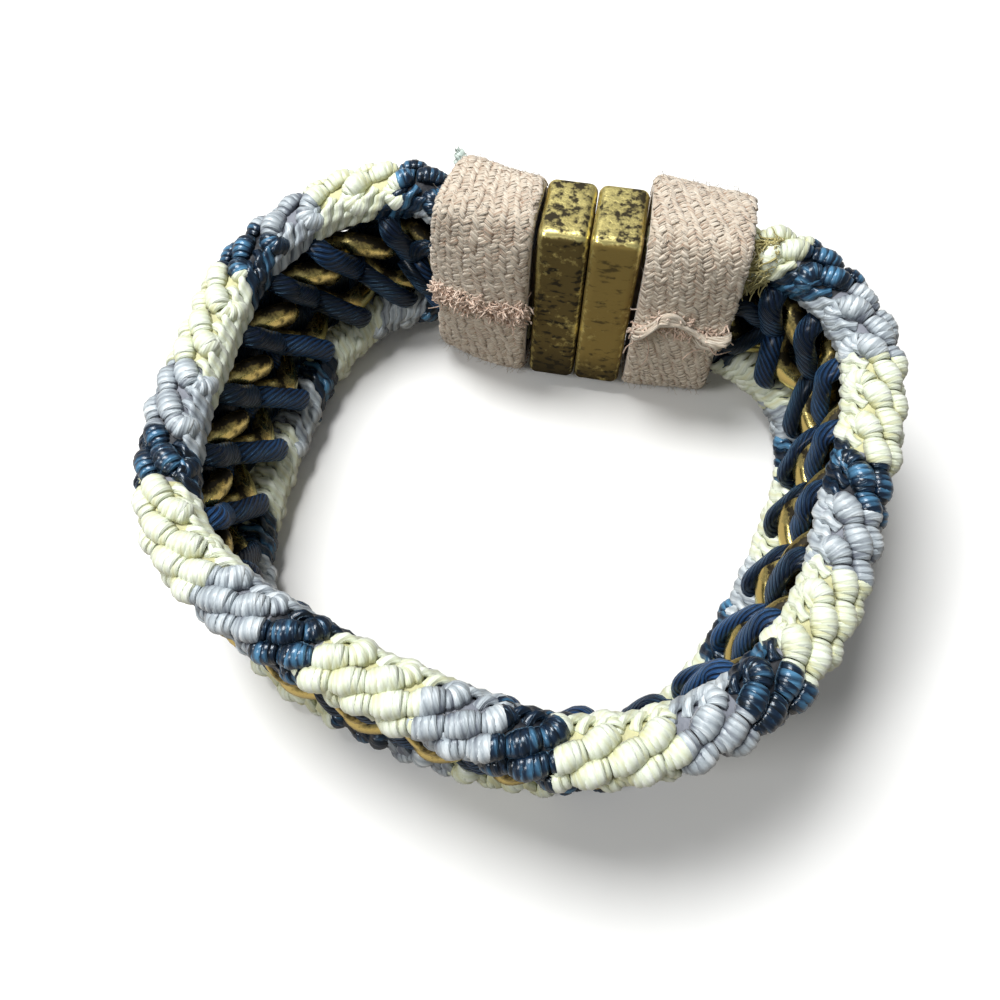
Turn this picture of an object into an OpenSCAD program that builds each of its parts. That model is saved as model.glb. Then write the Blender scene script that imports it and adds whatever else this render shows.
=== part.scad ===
// Woven bracelet standing on its lower edge, millimetres, +Z up.
// Two knotted cord bands run round the wrist with a curb chain between them.
// Their ends are bound in ribbon beside the two halves of a magnetic clasp.

/* [Wall] */
// Height of the woven wall, from its lower edge to its upper edge
wall_h = 19.4; // [18.8:0.1:19.8]
// Thickness of each knotted band
band_t = 5.8; // [5.2:0.1:6]
// Height of each knotted band
band_h = 5; // [4.9:0.1:5.1]

/* [Ribs of the bands] */
// Distance between two knotted ribs along the band
rib_pitch = 4.1; // [3.6:0.1:4.6]
// How far a groove lies below the ribs beside it
rib_depth = 0.45; // [0.1:0.05:0.6]
// How far a rib leans along the band for each millimetre that it climbs
rib_lean = 1.15; // [0:0.05:1.2]

/* [Chain] */
// Number of links between the two ends
link_count = 24; // [23:1:25]
// Length of a link, from middle to middle of its wire
link_l = 8.8; // [8.7:0.1:8.9]
// Height of a link, from middle to middle of its wire
link_h = 6.6; // [6.4:0.1:6.7]
// Thickness of the link wire
link_wire = 1.7; // [1.5:0.05:1.75]
// Turn of each end of a link out of the wall, in degrees
link_twist = 58; // [56:1:60]

/* [Lacing] */
// Thickness of the cord that laces the chain to the bands
lace_t = 1.2; // [1:0.1:1.3]

/* [Clasp] */
// Height of the clasp
clasp_h = 20; // [19:0.1:20.2]
// Thickness of the clasp
clasp_t = 8; // [7.5:0.1:8.4]
// Length of one half of the clasp along the wall
clasp_half_l = 4.9; // [4.5:0.1:5]
// Radius of the clasp's edges
clasp_edge_r = 0.9; // [0.4:0.1:1.4]

/* [End wraps] */
// Length of the ribbon wrap at the clasp's left half
wrap_left_l = 10.3; // [9:0.1:11]
// Length of the ribbon wrap at the clasp's right half
wrap_right_l = 9.7; // [9:0.1:11]
// Thickness of the wound ribbon
wrap_wall = 1.8; // [1.5:0.1:1.9]
// Thickness of the wrapped ends
wrap_t = 10; // [9.6:0.1:10.4]
// Height of the wrapped ends
wrap_h = 21.6; // [21.4:0.1:22]

/* [Hidden] */
// The wall's mid-height line seen from above, from the clasp's seam leftwards.
// Columns: x, y, outward lean of the wall in degrees.
PATH_X = 0;
PATH_Y = 1;
PATH_LEAN = 2;
wall_path = [
    [0, 4, 7],
    [-8.5, 4.4, 7],
    [-17, 6.4, 9],
    [-25, 3.5, 18],
    [-29.8, -4, 22],
    [-31, -13, 19],
    [-31.3, -21.5, 16],
    [-29.3, -30, 9],
    [-23, -36, 0],
    [-14.5, -39.5, -1],
    [-6, -41.6, 0],
    [3, -42.4, 4],
    [11, -40.1, 8],
    [17.5, -34.8, 12],
    [21.7, -27, 14],
    [24, -18.5, 9],
    [25.6, -10, 8.5],
    [24.7, -1.7, 8],
    [18.5, 3.8, 7],
    [9, 4.2, 7]
];
// Middle of the bracelet in the path's own x and y, where the origin lies
path_middle = [-3.375, -17.25];

clearance = 0.1;
clasp_gap = 0.3;
floor_rise = 0.08;
path_steps = 12;
tangent_reach = 0.8;
lift_ramp = 14;
pinch_ramp = 2.5;
band_sides = 12;
band_squareness = 0.85;
rib_skew = 0.8;
// Share of the groove's depth at each ring of one rib, from groove to groove
rib_profile = [1, 0.3, 0, 0.3];
lean_fade = 6;
wrap_sides = 16;
wrap_ring_gap = 1.3;
wrap_outer_squareness = 0.5;
wrap_inner_squareness = 0.35;
wrap_mouth_round = 0.5;
link_segments = 16;
link_sides = 5;
link_squareness = 0.85;
lace_sides = 5;
lace_slant = 0.48;
round_fn = 32;

path_count = len(wall_path);
dense_count = path_count * path_steps;

function curve(p0, p1, p2, p3, t) =
    0.5 * (2 * p1 + (p2 - p0) * t + (2 * p0 - 5 * p1 + 4 * p2 - p3) * t * t
    + (3 * p1 - p0 - 3 * p2 + p3) * t * t * t);
function path_row(i) = wall_path[(i + path_count) % path_count];
function dense_row(k) =
    let (i = floor(k / path_steps))
    curve(path_row(i - 1), path_row(i), path_row(i + 1), path_row(i + 2), k / path_steps - i);
function flat(row) = [row[PATH_X], row[PATH_Y]];

dense = [for (k = [0 : dense_count]) dense_row(k)];
steps = [for (k = [0 : dense_count - 1]) norm(flat(dense[k + 1]) - flat(dense[k]))];
runs = [for (k = 0, s = 0; k <= dense_count; s = s + (k < dense_count ? steps[k] : 0), k = k + 1) s];
path_l = runs[dense_count];
x_table = [for (k = [0 : dense_count]) [runs[k], dense[k][PATH_X] - path_middle[0]]];
y_table = [for (k = [0 : dense_count]) [runs[k], dense[k][PATH_Y] - path_middle[1]]];
lean_table = [for (k = [0 : dense_count]) [runs[k], dense[k][PATH_LEAN]]];

// The wall's own directions at a distance u along its line
function spot(u) = [lookup(u, x_table), lookup(u, y_table)];
function unit(v) = v / norm(v);
function along(u) = unit(spot(u + tangent_reach) - spot(u - tangent_reach));
function out3(u) = [along(u)[1], -along(u)[0], 0];
function lean(u) = lookup(u, lean_table);
function thick_dir(u) = out3(u) * cos(lean(u)) - [0, 0, sin(lean(u))];
function height_dir(u) = [0, 0, cos(lean(u))] + out3(u) * sin(lean(u));

function smooth(t) = let (c = min(1, max(0, t))) c * c * (3 - 2 * c);
// Distance from u to the mouth of the nearer wrap, below 0 inside it
mouth_left = clasp_half_l + wrap_left_l;
mouth_right = path_l - clasp_half_l - wrap_right_l;
function past_mouth(u) = min(u - mouth_left, mouth_right - u);

// The wall's middle stands so high that its rounded lower edge meets the floor
wrap_lift = (wrap_h - wall_h) / 2 + 0.15;
function middle_z(u) =
    floor_rise + (wall_h - band_t) / 2 * cos(lean(u)) + band_t / 2
    + wrap_lift * smooth(1 - past_mouth(u) / lift_ramp);
// A point at u along the wall, a outwards from its middle and v up it
function wall_point(u, a, v) =
    [spot(u)[0], spot(u)[1], middle_z(u)] + a * thick_dir(u) + v * height_dir(u);

// Signed power, which squares off a circle's quarter
function squared(c, power) = sign(c) * pow(abs(c), power);

// Tube through rings of equal point counts, closed with a flat face at each end
module ringed_solid(rings) {
    n = len(rings[0]);
    m = len(rings);
    points = [for (ring = rings) each ring];
    sides = [
        for (j = [0 : m - 2], k = [0 : n - 1])
            let (a = j * n + k, b = j * n + (k + 1) % n)
            each [[a, b, b + n], [a, b + n, a + n]]
    ];
    caps = [[for (k = [n - 1 : -1 : 0]) k], [for (k = [0 : n - 1]) (m - 1) * n + k]];
    polyhedron(points, concat(sides, caps), convexity = 8);
}

// Tube through rings that closes on itself, as a link or a sleeve's wall does
module looped_solid(rings) {
    n = len(rings[0]);
    m = len(rings);
    points = [for (ring = rings) each ring];
    sides = [
        for (j = [0 : m - 1], k = [0 : n - 1])
            let (a = j * n + k, b = j * n + (k + 1) % n)
            let (c = ((j + 1) % m) * n + k, d = ((j + 1) % m) * n + (k + 1) % n)
            each [[a, b, d], [a, d, c]]
    ];
    polyhedron(points, sides, convexity = 8);
}

// Knotted bands
band_start = clasp_half_l + clasp_gap;
band_end = path_l - band_start;
rings_per_rib = len(rib_profile);
band_ring_count = rings_per_rib * round((band_end - band_start) / rib_pitch) + 1;
band_ring_gap = (band_end - band_start) / (band_ring_count - 1);
// Inside a wrap the bands are squeezed to fit the ribbon
wrap_inner_h = wrap_h - 2 * wrap_wall;
wrap_inner_t = wrap_t - 2 * wrap_wall;
squeeze_h = (wrap_inner_h - 4 * clearance) / wall_h;
squeeze_t = (wrap_inner_t - 6 * clearance) / band_t;
function pinch(u, squeeze) = 1 - (1 - squeeze) * smooth(1 - past_mouth(u) / pinch_ramp);
function lean_share(u) = smooth((u - band_start) / lean_fade) * smooth((band_end - u) / lean_fade);

function band_point(u, turn, middle_v, rib) =
    let (half_t = band_t / 2 - rib, half_h = band_h / 2 - rib / 2)
    let (a = half_t * squared(cos(turn), band_squareness))
    let (v = half_h * squared(sin(turn), band_squareness))
    let (shift = rib_lean * (v - rib_skew * a) * lean_share(u))
    wall_point(u + shift, a * pinch(u + shift, squeeze_t), (middle_v + v) * pinch(u + shift, squeeze_h));

module band(middle_v)
    ringed_solid([
        for (j = [0 : band_ring_count - 1])
            [for (k = [0 : band_sides - 1])
                band_point(band_start + j * band_ring_gap, 360 * (k + 0.5) / band_sides, middle_v,
                    rib_depth * rib_profile[j % rings_per_rib])]
    ]);

band_middle = (wall_h - band_h) / 2;
module upper_band() color("#e9e7d3") band(band_middle);
module lower_band() color("#d9d8cf") band(-band_middle);

// Curb chain
chain_start = clasp_half_l + link_l / 2;
link_pitch = (path_l - 2 * chain_start) / link_count;
function joint_spot(i) = wall_point(chain_start + i * link_pitch, 0, 0);
function link_u(i) = chain_start + (i + 0.5) * link_pitch;
function link_middle(i) = (joint_spot(i) + joint_spot(i + 1)) / 2;
function link_along(i) = unit(joint_spot(i + 1) - joint_spot(i));
function link_out(i) =
    let (m = thick_dir(link_u(i)), e = link_along(i))
    unit(m - (m * e) * e);
function link_up(i) = cross(link_along(i), -link_out(i));
// A point in a link's own directions: along the chain, outwards and up
function link_point(i, e, a, v) =
    link_middle(i) + e * link_along(i) + a * link_out(i) + v * link_up(i);

// The wire's middle line is a squared oval whose ends turn opposite ways
function wire_middle(i, turn) =
    let (e = link_l / 2 * squared(cos(turn), link_squareness))
    let (y = link_h / 2 * squared(sin(turn), link_squareness))
    let (twist = link_twist * 2 * e / link_l)
    link_point(i, e, y * sin(twist), y * cos(twist));
function wire_ring(i, turn) =
    let (c = wire_middle(i, turn), step = 180 / link_segments)
    let (t = unit(wire_middle(i, turn + step) - wire_middle(i, turn - step)))
    let (r = c - link_middle(i), n = unit(r - (r * t) * t), b = cross(t, n))
    [for (k = [0 : link_sides - 1])
        c + link_wire / 2 * (cos(360 * k / link_sides) * n + sin(360 * k / link_sides) * b)];

module link(i)
    color("#b08f48")
    looped_solid([for (s = [0 : link_segments - 1]) wire_ring(i, 360 * s / link_segments)]);

// Lacing: one stitch from each band over the link's rail into its hole.
// Columns: outwards, up; a stitch of the upper band, which slants along the chain as it climbs
STITCH_A = 0;
STITCH_V = 1;
stitch_path = [
    [-2.85, 4.7],
    [-2.52, 3.7],
    [-2.2, 2.7],
    [-1.5, 1.7],
    [-0.4, 1]
];
function stitch_slant(i) = lace_slant * min(1, past_mouth(link_u(i)) / lean_fade);
function stitch_spot(i, p, side) =
    link_point(i, side * stitch_slant(i) * p[STITCH_V], p[STITCH_A], side * p[STITCH_V]);
function stitch_ring(i, s, side) =
    let (last = len(stitch_path) - 1)
    let (c = stitch_spot(i, stitch_path[s], side))
    let (before = stitch_spot(i, stitch_path[max(0, s - 1)], side))
    let (after = stitch_spot(i, stitch_path[min(last, s + 1)], side))
    let (t = unit(after - before), r = link_along(i))
    let (n = unit(r - (r * t) * t), b = cross(t, n))
    [for (k = [0 : lace_sides - 1])
        c + lace_t / 2 * (cos(360 * k / lace_sides) * n + sin(360 * k / lace_sides) * b)];

module lacing(side)
    color("#22395c")
    for (i = [1 : link_count - 2])
        ringed_solid([for (s = [0 : len(stitch_path) - 1]) stitch_ring(i, s, side)]);

module upper_lacing() lacing(1);
module lower_lacing() lacing(-1);

// Magnetic clasp
module rounded_plate(w, h, r, depth)
    linear_extrude(depth, center = true)
    union() {
        square([w - 2 * r, h], center = true);
        square([w, h - 2 * r], center = true);
        for (x = [-1, 1], y = [-1, 1])
            translate([x * (w / 2 - r), y * (h / 2 - r)]) circle(r, $fn = round_fn);
    }

module clasp_half()
    intersection() {
        rounded_plate(clasp_half_l - clearance, clasp_t, clasp_edge_r, clasp_h);
        rotate([90, 0, 0]) rounded_plate(clasp_half_l - clearance, clasp_h, clasp_edge_r, clasp_t);
        rotate([90, 0, 90]) rounded_plate(clasp_t, clasp_h, clasp_edge_r, clasp_half_l);
    }

module seated_clasp(side)
    color("#a38a4f")
    translate([spot(0)[0] + side * clasp_half_l / 2, spot(0)[1], middle_z(0)])
    rotate([-lean(0), 0, 0])
    clasp_half();

module clasp_left() seated_clasp(-1);
module clasp_right() seated_clasp(1);

// Ribbon wraps: sleeves wound over the squeezed ends of the bands
function wrap_ring(u, t, h, power) =
    [for (k = [0 : wrap_sides - 1])
        let (turn = 360 * (k + 0.5) / wrap_sides)
        wall_point(u, t / 2 * squared(cos(turn), power), h / 2 * squared(sin(turn), power))];

module end_wrap(from_u, to_u) {
    ring_count = ceil((to_u - from_u) / wrap_ring_gap);
    gap = (to_u - from_u) / ring_count;
    function soft(j) = j == 0 || j == ring_count ? 2 * wrap_mouth_round : 0;
    outer = [for (j = [0 : ring_count])
        wrap_ring(from_u + j * gap, wrap_t - soft(j), wrap_h - soft(j), wrap_outer_squareness)];
    inner = [for (j = [ring_count : -1 : 0])
        wrap_ring(from_u + j * gap, wrap_inner_t, wrap_inner_h, wrap_inner_squareness)];
    color("#d9bfb4") looped_solid(concat(outer, inner));
}

module end_wrap_left() end_wrap(clasp_half_l + clasp_gap, mouth_left);
module end_wrap_right() end_wrap(mouth_right, path_l - clasp_half_l - clasp_gap);

function link_name(i) = str("link_", i < 9 ? "0" : "", i + 1);
LINK_NODES = [for (i = [0 : link_count - 1]) link_name(i)];

upper_band();
lower_band();
upper_lacing();
lower_lacing();
clasp_left();
clasp_right();
end_wrap_left();
end_wrap_right();
for (i = [0 : link_count - 1])
    link(i);
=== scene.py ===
# %% [markdown]
# # A woven bracelet with a magnetic clasp
# Two knotted cord bands run round the wrist. A brass curb chain lies between them, laced to each
# band with navy cord, and ribbon binds their ends beside the two halves of a magnetic clasp.
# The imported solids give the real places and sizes. Nearly all of the object is cord, so most
# cells lay many small tubes along curves with arrays, and one cell makes one kind of piece.

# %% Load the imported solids
import math

import bpy
import numpy as np
from mathutils import Matrix


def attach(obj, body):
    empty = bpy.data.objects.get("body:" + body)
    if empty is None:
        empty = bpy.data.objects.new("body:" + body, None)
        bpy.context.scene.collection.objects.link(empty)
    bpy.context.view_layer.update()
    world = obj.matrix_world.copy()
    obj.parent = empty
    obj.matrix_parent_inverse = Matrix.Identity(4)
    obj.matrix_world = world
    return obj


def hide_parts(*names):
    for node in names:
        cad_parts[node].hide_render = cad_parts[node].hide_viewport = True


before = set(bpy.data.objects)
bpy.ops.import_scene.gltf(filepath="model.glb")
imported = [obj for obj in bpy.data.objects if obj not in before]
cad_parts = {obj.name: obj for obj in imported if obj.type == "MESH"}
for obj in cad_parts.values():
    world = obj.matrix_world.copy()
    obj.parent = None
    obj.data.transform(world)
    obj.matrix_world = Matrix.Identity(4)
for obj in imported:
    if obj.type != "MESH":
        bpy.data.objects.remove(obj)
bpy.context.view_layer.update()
MM = 0.001
rng = np.random.default_rng(11)

# %% [markdown]
# The camera comes first. It stands over the bracelet's front and looks steeply down to the clasp,
# as the photograph does. A camera looks along its own -Z with +Y up, so its matrix is written
# from three directions: to the right, up, and back towards the viewer.

# %% Camera
IMAGE_PIXELS = 1000
FOCAL_PIXELS = 900
SENSOR_MM = 36
CAMERA_AT = np.array([5.275, -36.55, 85.8])
CAMERA_HEADING = math.radians(10.98)
CAMERA_DOWN = math.radians(65.84)
CAMERA_ROLL = math.radians(1.23)
CLIP_NEAR = 0.005
CLIP_FAR = 10


def placed_at(x, y, z, place):
    """A matrix from three directions and a place in millimetres."""
    matrix = np.eye(4)
    for column, part in enumerate((x, y, z, np.array(place) * MM)):
        matrix[:3, column] = part
    return Matrix(matrix)


def photo_camera():
    forward = np.array([-math.sin(CAMERA_HEADING) * math.cos(CAMERA_DOWN),
                        math.cos(CAMERA_HEADING) * math.cos(CAMERA_DOWN), -math.sin(CAMERA_DOWN)])
    level = np.array([math.cos(CAMERA_HEADING), math.sin(CAMERA_HEADING), 0])
    down = np.cross(forward, level)
    right = math.cos(CAMERA_ROLL) * level + math.sin(CAMERA_ROLL) * down
    low = -math.sin(CAMERA_ROLL) * level + math.cos(CAMERA_ROLL) * down
    data = bpy.data.cameras.new("photo_camera")
    data.sensor_width = SENSOR_MM
    data.lens = SENSOR_MM * FOCAL_PIXELS / IMAGE_PIXELS
    data.clip_start = CLIP_NEAR
    data.clip_end = CLIP_FAR
    camera = bpy.data.objects.new("photo_camera", data)
    camera.matrix_world = placed_at(right, -low, -forward, CAMERA_AT)
    bpy.context.scene.collection.objects.link(camera)
    return camera


bpy.context.scene.camera = photo_camera()
bpy.context.scene.view_settings.view_transform = "Standard"
print("camera height in mm:", CAMERA_AT[2])

# %% [markdown]
# The wall of the bracelet stands on a closed line. Cord patterns need a place on that wall and
# not in space, so a point is given as u along the line from the clasp's seam, a outwards from the
# wall's middle and v up the wall, all in millimetres. The rows below are the solids' own driving
# rows, so each new piece lands on the solid that it replaces.

# %% The line that the wall follows
WALL_PATH = np.array([
    [0, 4, 7], [-8.5, 4.4, 7], [-17, 6.4, 9], [-25, 3.5, 18], [-29.8, -4, 22], [-31, -13, 19],
    [-31.3, -21.5, 16], [-29.3, -30, 9], [-23, -36, 0], [-14.5, -39.5, -1], [-6, -41.6, 0],
    [3, -42.4, 4], [11, -40.1, 8], [17.5, -34.8, 12], [21.7, -27, 14], [24, -18.5, 9],
    [25.6, -10, 8.5], [24.7, -1.7, 8], [18.5, 3.8, 7], [9, 4.2, 7]], float)
PATH_MIDDLE = np.array([-3.375, -17.25])
PATH_STEPS = 12
TANGENT_REACH = 0.8


def between(p0, p1, p2, p3, t):
    """Points from p1 to p2 on the smooth curve through four points, for t from 0 to 1."""
    return 0.5 * (2 * p1 + (p2 - p0) * t + (2 * p0 - 5 * p1 + 4 * p2 - p3) * t ** 2
                  + (3 * p1 - p0 - 3 * p2 + p3) * t ** 3)


def closed_curve(rows, steps):
    """The smooth closed curve through the rows, with its first row again at the end."""
    t = np.arange(steps)[:, None] / steps
    pieces = [between(*(rows[(i + k) % len(rows)] for k in (-1, 0, 1, 2)), t)
              for i in range(len(rows))]
    return np.vstack(pieces + [rows[:1]])


def run_along(points):
    """The length of each line from its first point to each of its points."""
    steps = np.linalg.norm(np.diff(points, axis=-2), axis=-1)
    return np.concatenate([np.zeros_like(steps[..., :1]), np.cumsum(steps, axis=-1)], -1)


ROWS = closed_curve(WALL_PATH, PATH_STEPS)
RUNS = run_along(ROWS[:, :2])
PATH_L = RUNS[-1]
print("length of the loop in mm:", round(PATH_L, 1))

# %% [markdown]
# The main sizes are the solids' own, in millimetres. The ribbon wraps end at their mouths, at a
# given u on each side of the clasp, and many patterns fade out there. So the distance from the
# nearer mouth gets a function of its own, and so does the soft step that such fading needs.

# %% Sizes and soft steps
WALL_H = 19.4
BAND_T = 5.8
BAND_H = 5.0
CLASP_HALF_L = 4.9
WRAP_T = 10.0
WRAP_H = 21.6
FLOOR_RISE = 0.08
MOUTH_LEFT = CLASP_HALF_L + 10.3
MOUTH_RIGHT = PATH_L - CLASP_HALF_L - 9.7
LIFT_RAMP = 14
WRAP_FLOOR_GAP = 0.15
WRAP_LIFT = (WRAP_H - WALL_H) / 2 + WRAP_FLOOR_GAP
FRONT_U = 95.0


def unit(v):
    return v / np.maximum(np.linalg.norm(v, axis=-1, keepdims=True), 1e-9)


def smooth(t):
    c = np.clip(t, 0, 1)
    return c * c * (3 - 2 * c)


def past_mouth(u):
    """Distance from u to the nearer wrap's mouth, below 0 inside the wrap."""
    return np.minimum(u - MOUTH_LEFT, MOUTH_RIGHT - u)


print("length of the wall between the ribbons in mm:", round(MOUTH_RIGHT - MOUTH_LEFT, 1))

# %% [markdown]
# The wall leans outwards by a few degrees, more at the back left, and it is lifted a little where
# the taller ribbon wraps meet the floor. A curve modifier could bend a straight wall along the
# line, but the cords need exact places. The frame below gives the three directions at any u.

# %% Places on the wall
def path_row(u):
    return np.stack([np.interp(np.mod(u, PATH_L), RUNS, ROWS[:, k]) for k in range(3)], -1)


def wall_frame(u):
    """The wall's middle point at u, and its directions along, outwards and up."""
    u = np.asarray(u, float)
    e = unit(path_row(u + TANGENT_REACH)[..., :2] - path_row(u - TANGENT_REACH)[..., :2])
    row = path_row(u)
    lean = np.radians(row[..., 2])
    zero = np.zeros_like(u)
    along = np.stack([e[..., 0], e[..., 1], zero], -1)
    out = np.stack([e[..., 1], -e[..., 0], zero], -1)
    up = np.stack([zero, zero, zero + 1], -1)
    cos, sin = np.cos(lean)[..., None], np.sin(lean)[..., None]
    z = (FLOOR_RISE + (WALL_H - BAND_T) / 2 * np.cos(lean) + BAND_T / 2
         + WRAP_LIFT * smooth(1 - past_mouth(u) / LIFT_RAMP))
    middle = np.stack([row[..., 0] - PATH_MIDDLE[0], row[..., 1] - PATH_MIDDLE[1], z], -1)
    return middle, along, out * cos - up * sin, up * cos + out * sin


def wall_point(u, a, v):
    middle, _, thick, height = wall_frame(u)
    return middle + np.asarray(a)[..., None] * thick + np.asarray(v)[..., None] * height


print("height of the wall's middle at the front:", round(float(wall_frame(FRONT_U)[0][2]), 2))

# %% [markdown]
# Every strand is a tube: rings of points along a middle line. A curve object with a bevel could
# draw one, but not with an oval section and a value on each point. One function therefore makes
# the points of hundreds of tubes in one go, which is far quicker than an operator for each strand.
# Each point also keeps its place on the cord, as the cosine and sine round it and the run along
# it, so that the materials can draw the plies without any unwrapping.

# %% Many tubes at once
def tube_faces(count, rings, sides):
    """Quads round each tube, and triangles from its end rings to the two points behind them."""
    first = np.arange(count)[:, None] * (rings * sides + 2) + np.arange(sides)
    after = np.roll(first, -1, 1)
    step = np.arange(rings - 1)[:, None] * sides
    a, b = first[:, None] + step, after[:, None] + step
    quads = np.stack([a, b, b + sides, a + sides], -1).reshape(-1, 4)
    end = np.broadcast_to(first[:, :1] + rings * sides, first.shape)
    last = (rings - 1) * sides
    caps = np.concatenate([np.stack([after, first, end], -1).reshape(-1, 3),
                           np.stack([first + last, after + last, end + 1], -1).reshape(-1, 3)])
    return quads, caps


def tubes(centre, wide, thick, sides, plies=0, swell=0.0, spin=0.0):
    """Points, faces and lay of many tubes: centre, wide and thick are (tube, ring, 3)."""
    count, rings = centre.shape[:2]
    along = centre[:, 1] - centre[:, 0]
    hand = np.sign((np.cross(wide[:, 0], thick[:, 0]) * along).sum(-1))
    thick = thick * np.where(hand == 0, 1, hand)[:, None, None]
    angle = 2 * np.pi * np.arange(sides) / sides
    reach = 1 + swell * np.cos(plies * (angle - np.broadcast_to(spin, (count, rings))[..., None]))
    points = (centre[:, :, None] + (reach * np.cos(angle))[..., None] * wide[:, :, None]
              + (reach * np.sin(angle))[..., None] * thick[:, :, None])
    run = run_along(centre)
    lay = np.stack(np.broadcast_arrays(np.cos(angle), np.sin(angle), run[..., None]), -1)
    ends = centre[:, [0, -1]]
    end_lay = np.zeros((count, 2, 3))
    end_lay[:, 1, 2] = run[:, -1]
    points = np.concatenate([points.reshape(count, -1, 3), ends], 1)
    lay = np.concatenate([lay.reshape(count, -1, 3), end_lay], 1)
    return points.reshape(-1, 3), *tube_faces(count, rings, sides), lay.reshape(-1, 3)


print("faces of a tube with 3 rings of 8:", [len(faces) for faces in tube_faces(1, 3, 8)])

# %% [markdown]
# A finished piece needs the same few things each time: a place in the scene, one material, the
# body that it rides on and the solids that it stands for, which it hides. One function gives it
# all of them and notes its triangles, because the whole model has a limit.

# %% Dressing a piece
triangle_counts = {}


def dress(piece, material, replaced=(), triangles=0, place=None):
    """Places the piece, gives it its material and says what it rides on and stands for."""
    bpy.context.scene.collection.objects.link(piece)
    if place is not None:
        piece.matrix_world = place
    piece.data.materials.clear()
    piece.data.materials.append(material)
    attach(piece, "root")
    if replaced:
        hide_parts(*replaced)
    triangle_counts[piece.name] = triangles
    print(piece.name, "triangles:", triangles)
    return piece


print("pieces so far:", len(triangle_counts))

# %% [markdown]
# A mesh can be filled from lists, but that is slow for a million corners. So arrays are written
# into it in one go: the points, then the corners of all its faces in a row, and where in that row
# each face starts. Named attributes keep further values on each point, for the materials.

# %% A mesh from arrays
def mesh_from(name, points, quads, triangles, kept):
    """A smooth mesh from points in millimetres, whose points keep the given values."""
    mesh = bpy.data.meshes.new(name)
    mesh.vertices.add(len(points))
    mesh.vertices.foreach_set("co", (points * MM).astype(np.float32).ravel())
    corners = np.concatenate([quads.ravel(), triangles.ravel()]).astype(np.int32)
    totals = np.concatenate([np.full(len(quads), 4), np.full(len(triangles), 3)])
    starts = np.concatenate([[0], np.cumsum(totals)[:-1]]).astype(np.int32)
    mesh.loops.add(len(corners))
    mesh.loops.foreach_set("vertex_index", corners)
    mesh.polygons.add(len(totals))
    mesh.polygons.foreach_set("loop_start", starts)
    mesh.polygons.foreach_set("use_smooth", np.ones(len(totals), bool))
    for label, values in kept.items():
        attribute = mesh.attributes.new(label, "FLOAT_VECTOR", "POINT")
        attribute.data.foreach_set("vector", values.astype(np.float32).ravel())
    mesh.update(calc_edges=True)
    return mesh


print("meshes before the first piece:", len(bpy.data.meshes))

# %% [markdown]
# One mesh for each kind and colour of strand keeps the number of objects small. The points of all
# its tubes are gathered first, with the place on the cord (lay) and the colour values (mark) of
# each point. Soft cord is pressed flat where it stands, so no point of such a mesh goes below the
# floor.

# %% One mesh from many parts
FLOOR_GAP = 0.02
NO_TRIANGLES = np.zeros((0, 3), int)


class Gathered:
    """Points, faces and point values of many parts that end as one mesh."""

    def __init__(self):
        self.parts = []
        self.count = 0

    def add(self, points, quads, mark, triangles=NO_TRIANGLES, lay=0.0):
        self.parts.append((points, quads + self.count, triangles + self.count,
                           np.broadcast_to(lay, points.shape), np.broadcast_to(mark, points.shape)))
        self.count += len(points)

    def add_tubes(self, centre, wide, thick, sides, tone, painted_light, **ply):
        """Adds tubes. tone is one value a tube, and the painted light one a ring: 0 deep down for
        painted shade, 1 on top for a painted highlight.
        """
        points, quads, caps, lay = tubes(centre, wide, thick, sides, **ply)
        count, rings = centre.shape[:2]
        painted_light = np.broadcast_to(painted_light, (count, rings))
        painted_light = np.concatenate([np.repeat(painted_light, sides, 1), painted_light[:, [0, -1]]], 1)
        tone = np.broadcast_to(np.asarray(tone, float).reshape(-1, 1), painted_light.shape)
        mark = np.stack([tone, painted_light, np.zeros_like(painted_light)], -1).reshape(-1, 3)
        self.add(points, quads, mark, caps, lay)

    def make(self, name, material, replaced=(), place=None):
        """One smooth mesh object of all the parts, riding on the bracelet's body."""
        points, quads, triangles, lay, mark = (np.concatenate(x) for x in zip(*self.parts))
        if place is None:
            points[:, 2] = np.maximum(points[:, 2], FLOOR_GAP)
        mesh = mesh_from(name, points, quads, triangles, {"lay": lay, "mark": mark})
        return dress(bpy.data.objects.new(name, mesh), material, replaced,
                     2 * len(quads) + len(triangles), place)


print("gap between the lowest cord and the floor in mm:", FLOOR_GAP)

# %% [markdown]
# Curved cords such as the lacing are drawn through a few given points. A smooth curve through
# them gives the middle line, and a frame carried from ring to ring without spin gives the cross
# section's directions, so that the cord doesn't twist by itself in a bend.

# %% Smooth middle lines and carried frames
CURVE_STEPS = 12


def through(points, rings):
    """A smooth curve through (tube, point, 3) rows, with the given number of even rings."""
    rows = np.concatenate([2 * points[:, :1] - points[:, 1:2], points,
                           2 * points[:, -1:] - points[:, -2:-1]], 1)
    t = np.linspace(0, 1, CURVE_STEPS, endpoint=False)[None, :, None]
    pieces = [between(*(rows[:, i + k][:, None] for k in range(4)), t)
              for i in range(points.shape[1] - 1)]
    dense = np.concatenate(pieces + [points[:, -1:]], 1)
    even = []
    for run, curve in zip(run_along(dense), dense):
        s = np.linspace(0, run[-1], rings)
        even.append(np.stack([np.interp(s, run, curve[:, k]) for k in range(3)], -1))
    return np.stack(even)


def carried(centre, start):
    """Two directions across each tube, carried along from the start direction."""
    along = unit(np.gradient(centre, axis=1))
    wide = np.empty_like(centre)
    side = start
    for k in range(centre.shape[1]):
        t = along[:, k]
        side = unit(side - (side * t).sum(-1, keepdims=True) * t)
        wide[:, k] = side
    return wide, np.cross(along, wide)


trial_bend = through(np.array([[[0, 0, 0], [5, 5, 0], [10, 0, 0]]], float), 9)
print("length of a cord bent over 10 mm:", round(float(run_along(trial_bend)[0, -1]), 2))

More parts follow.
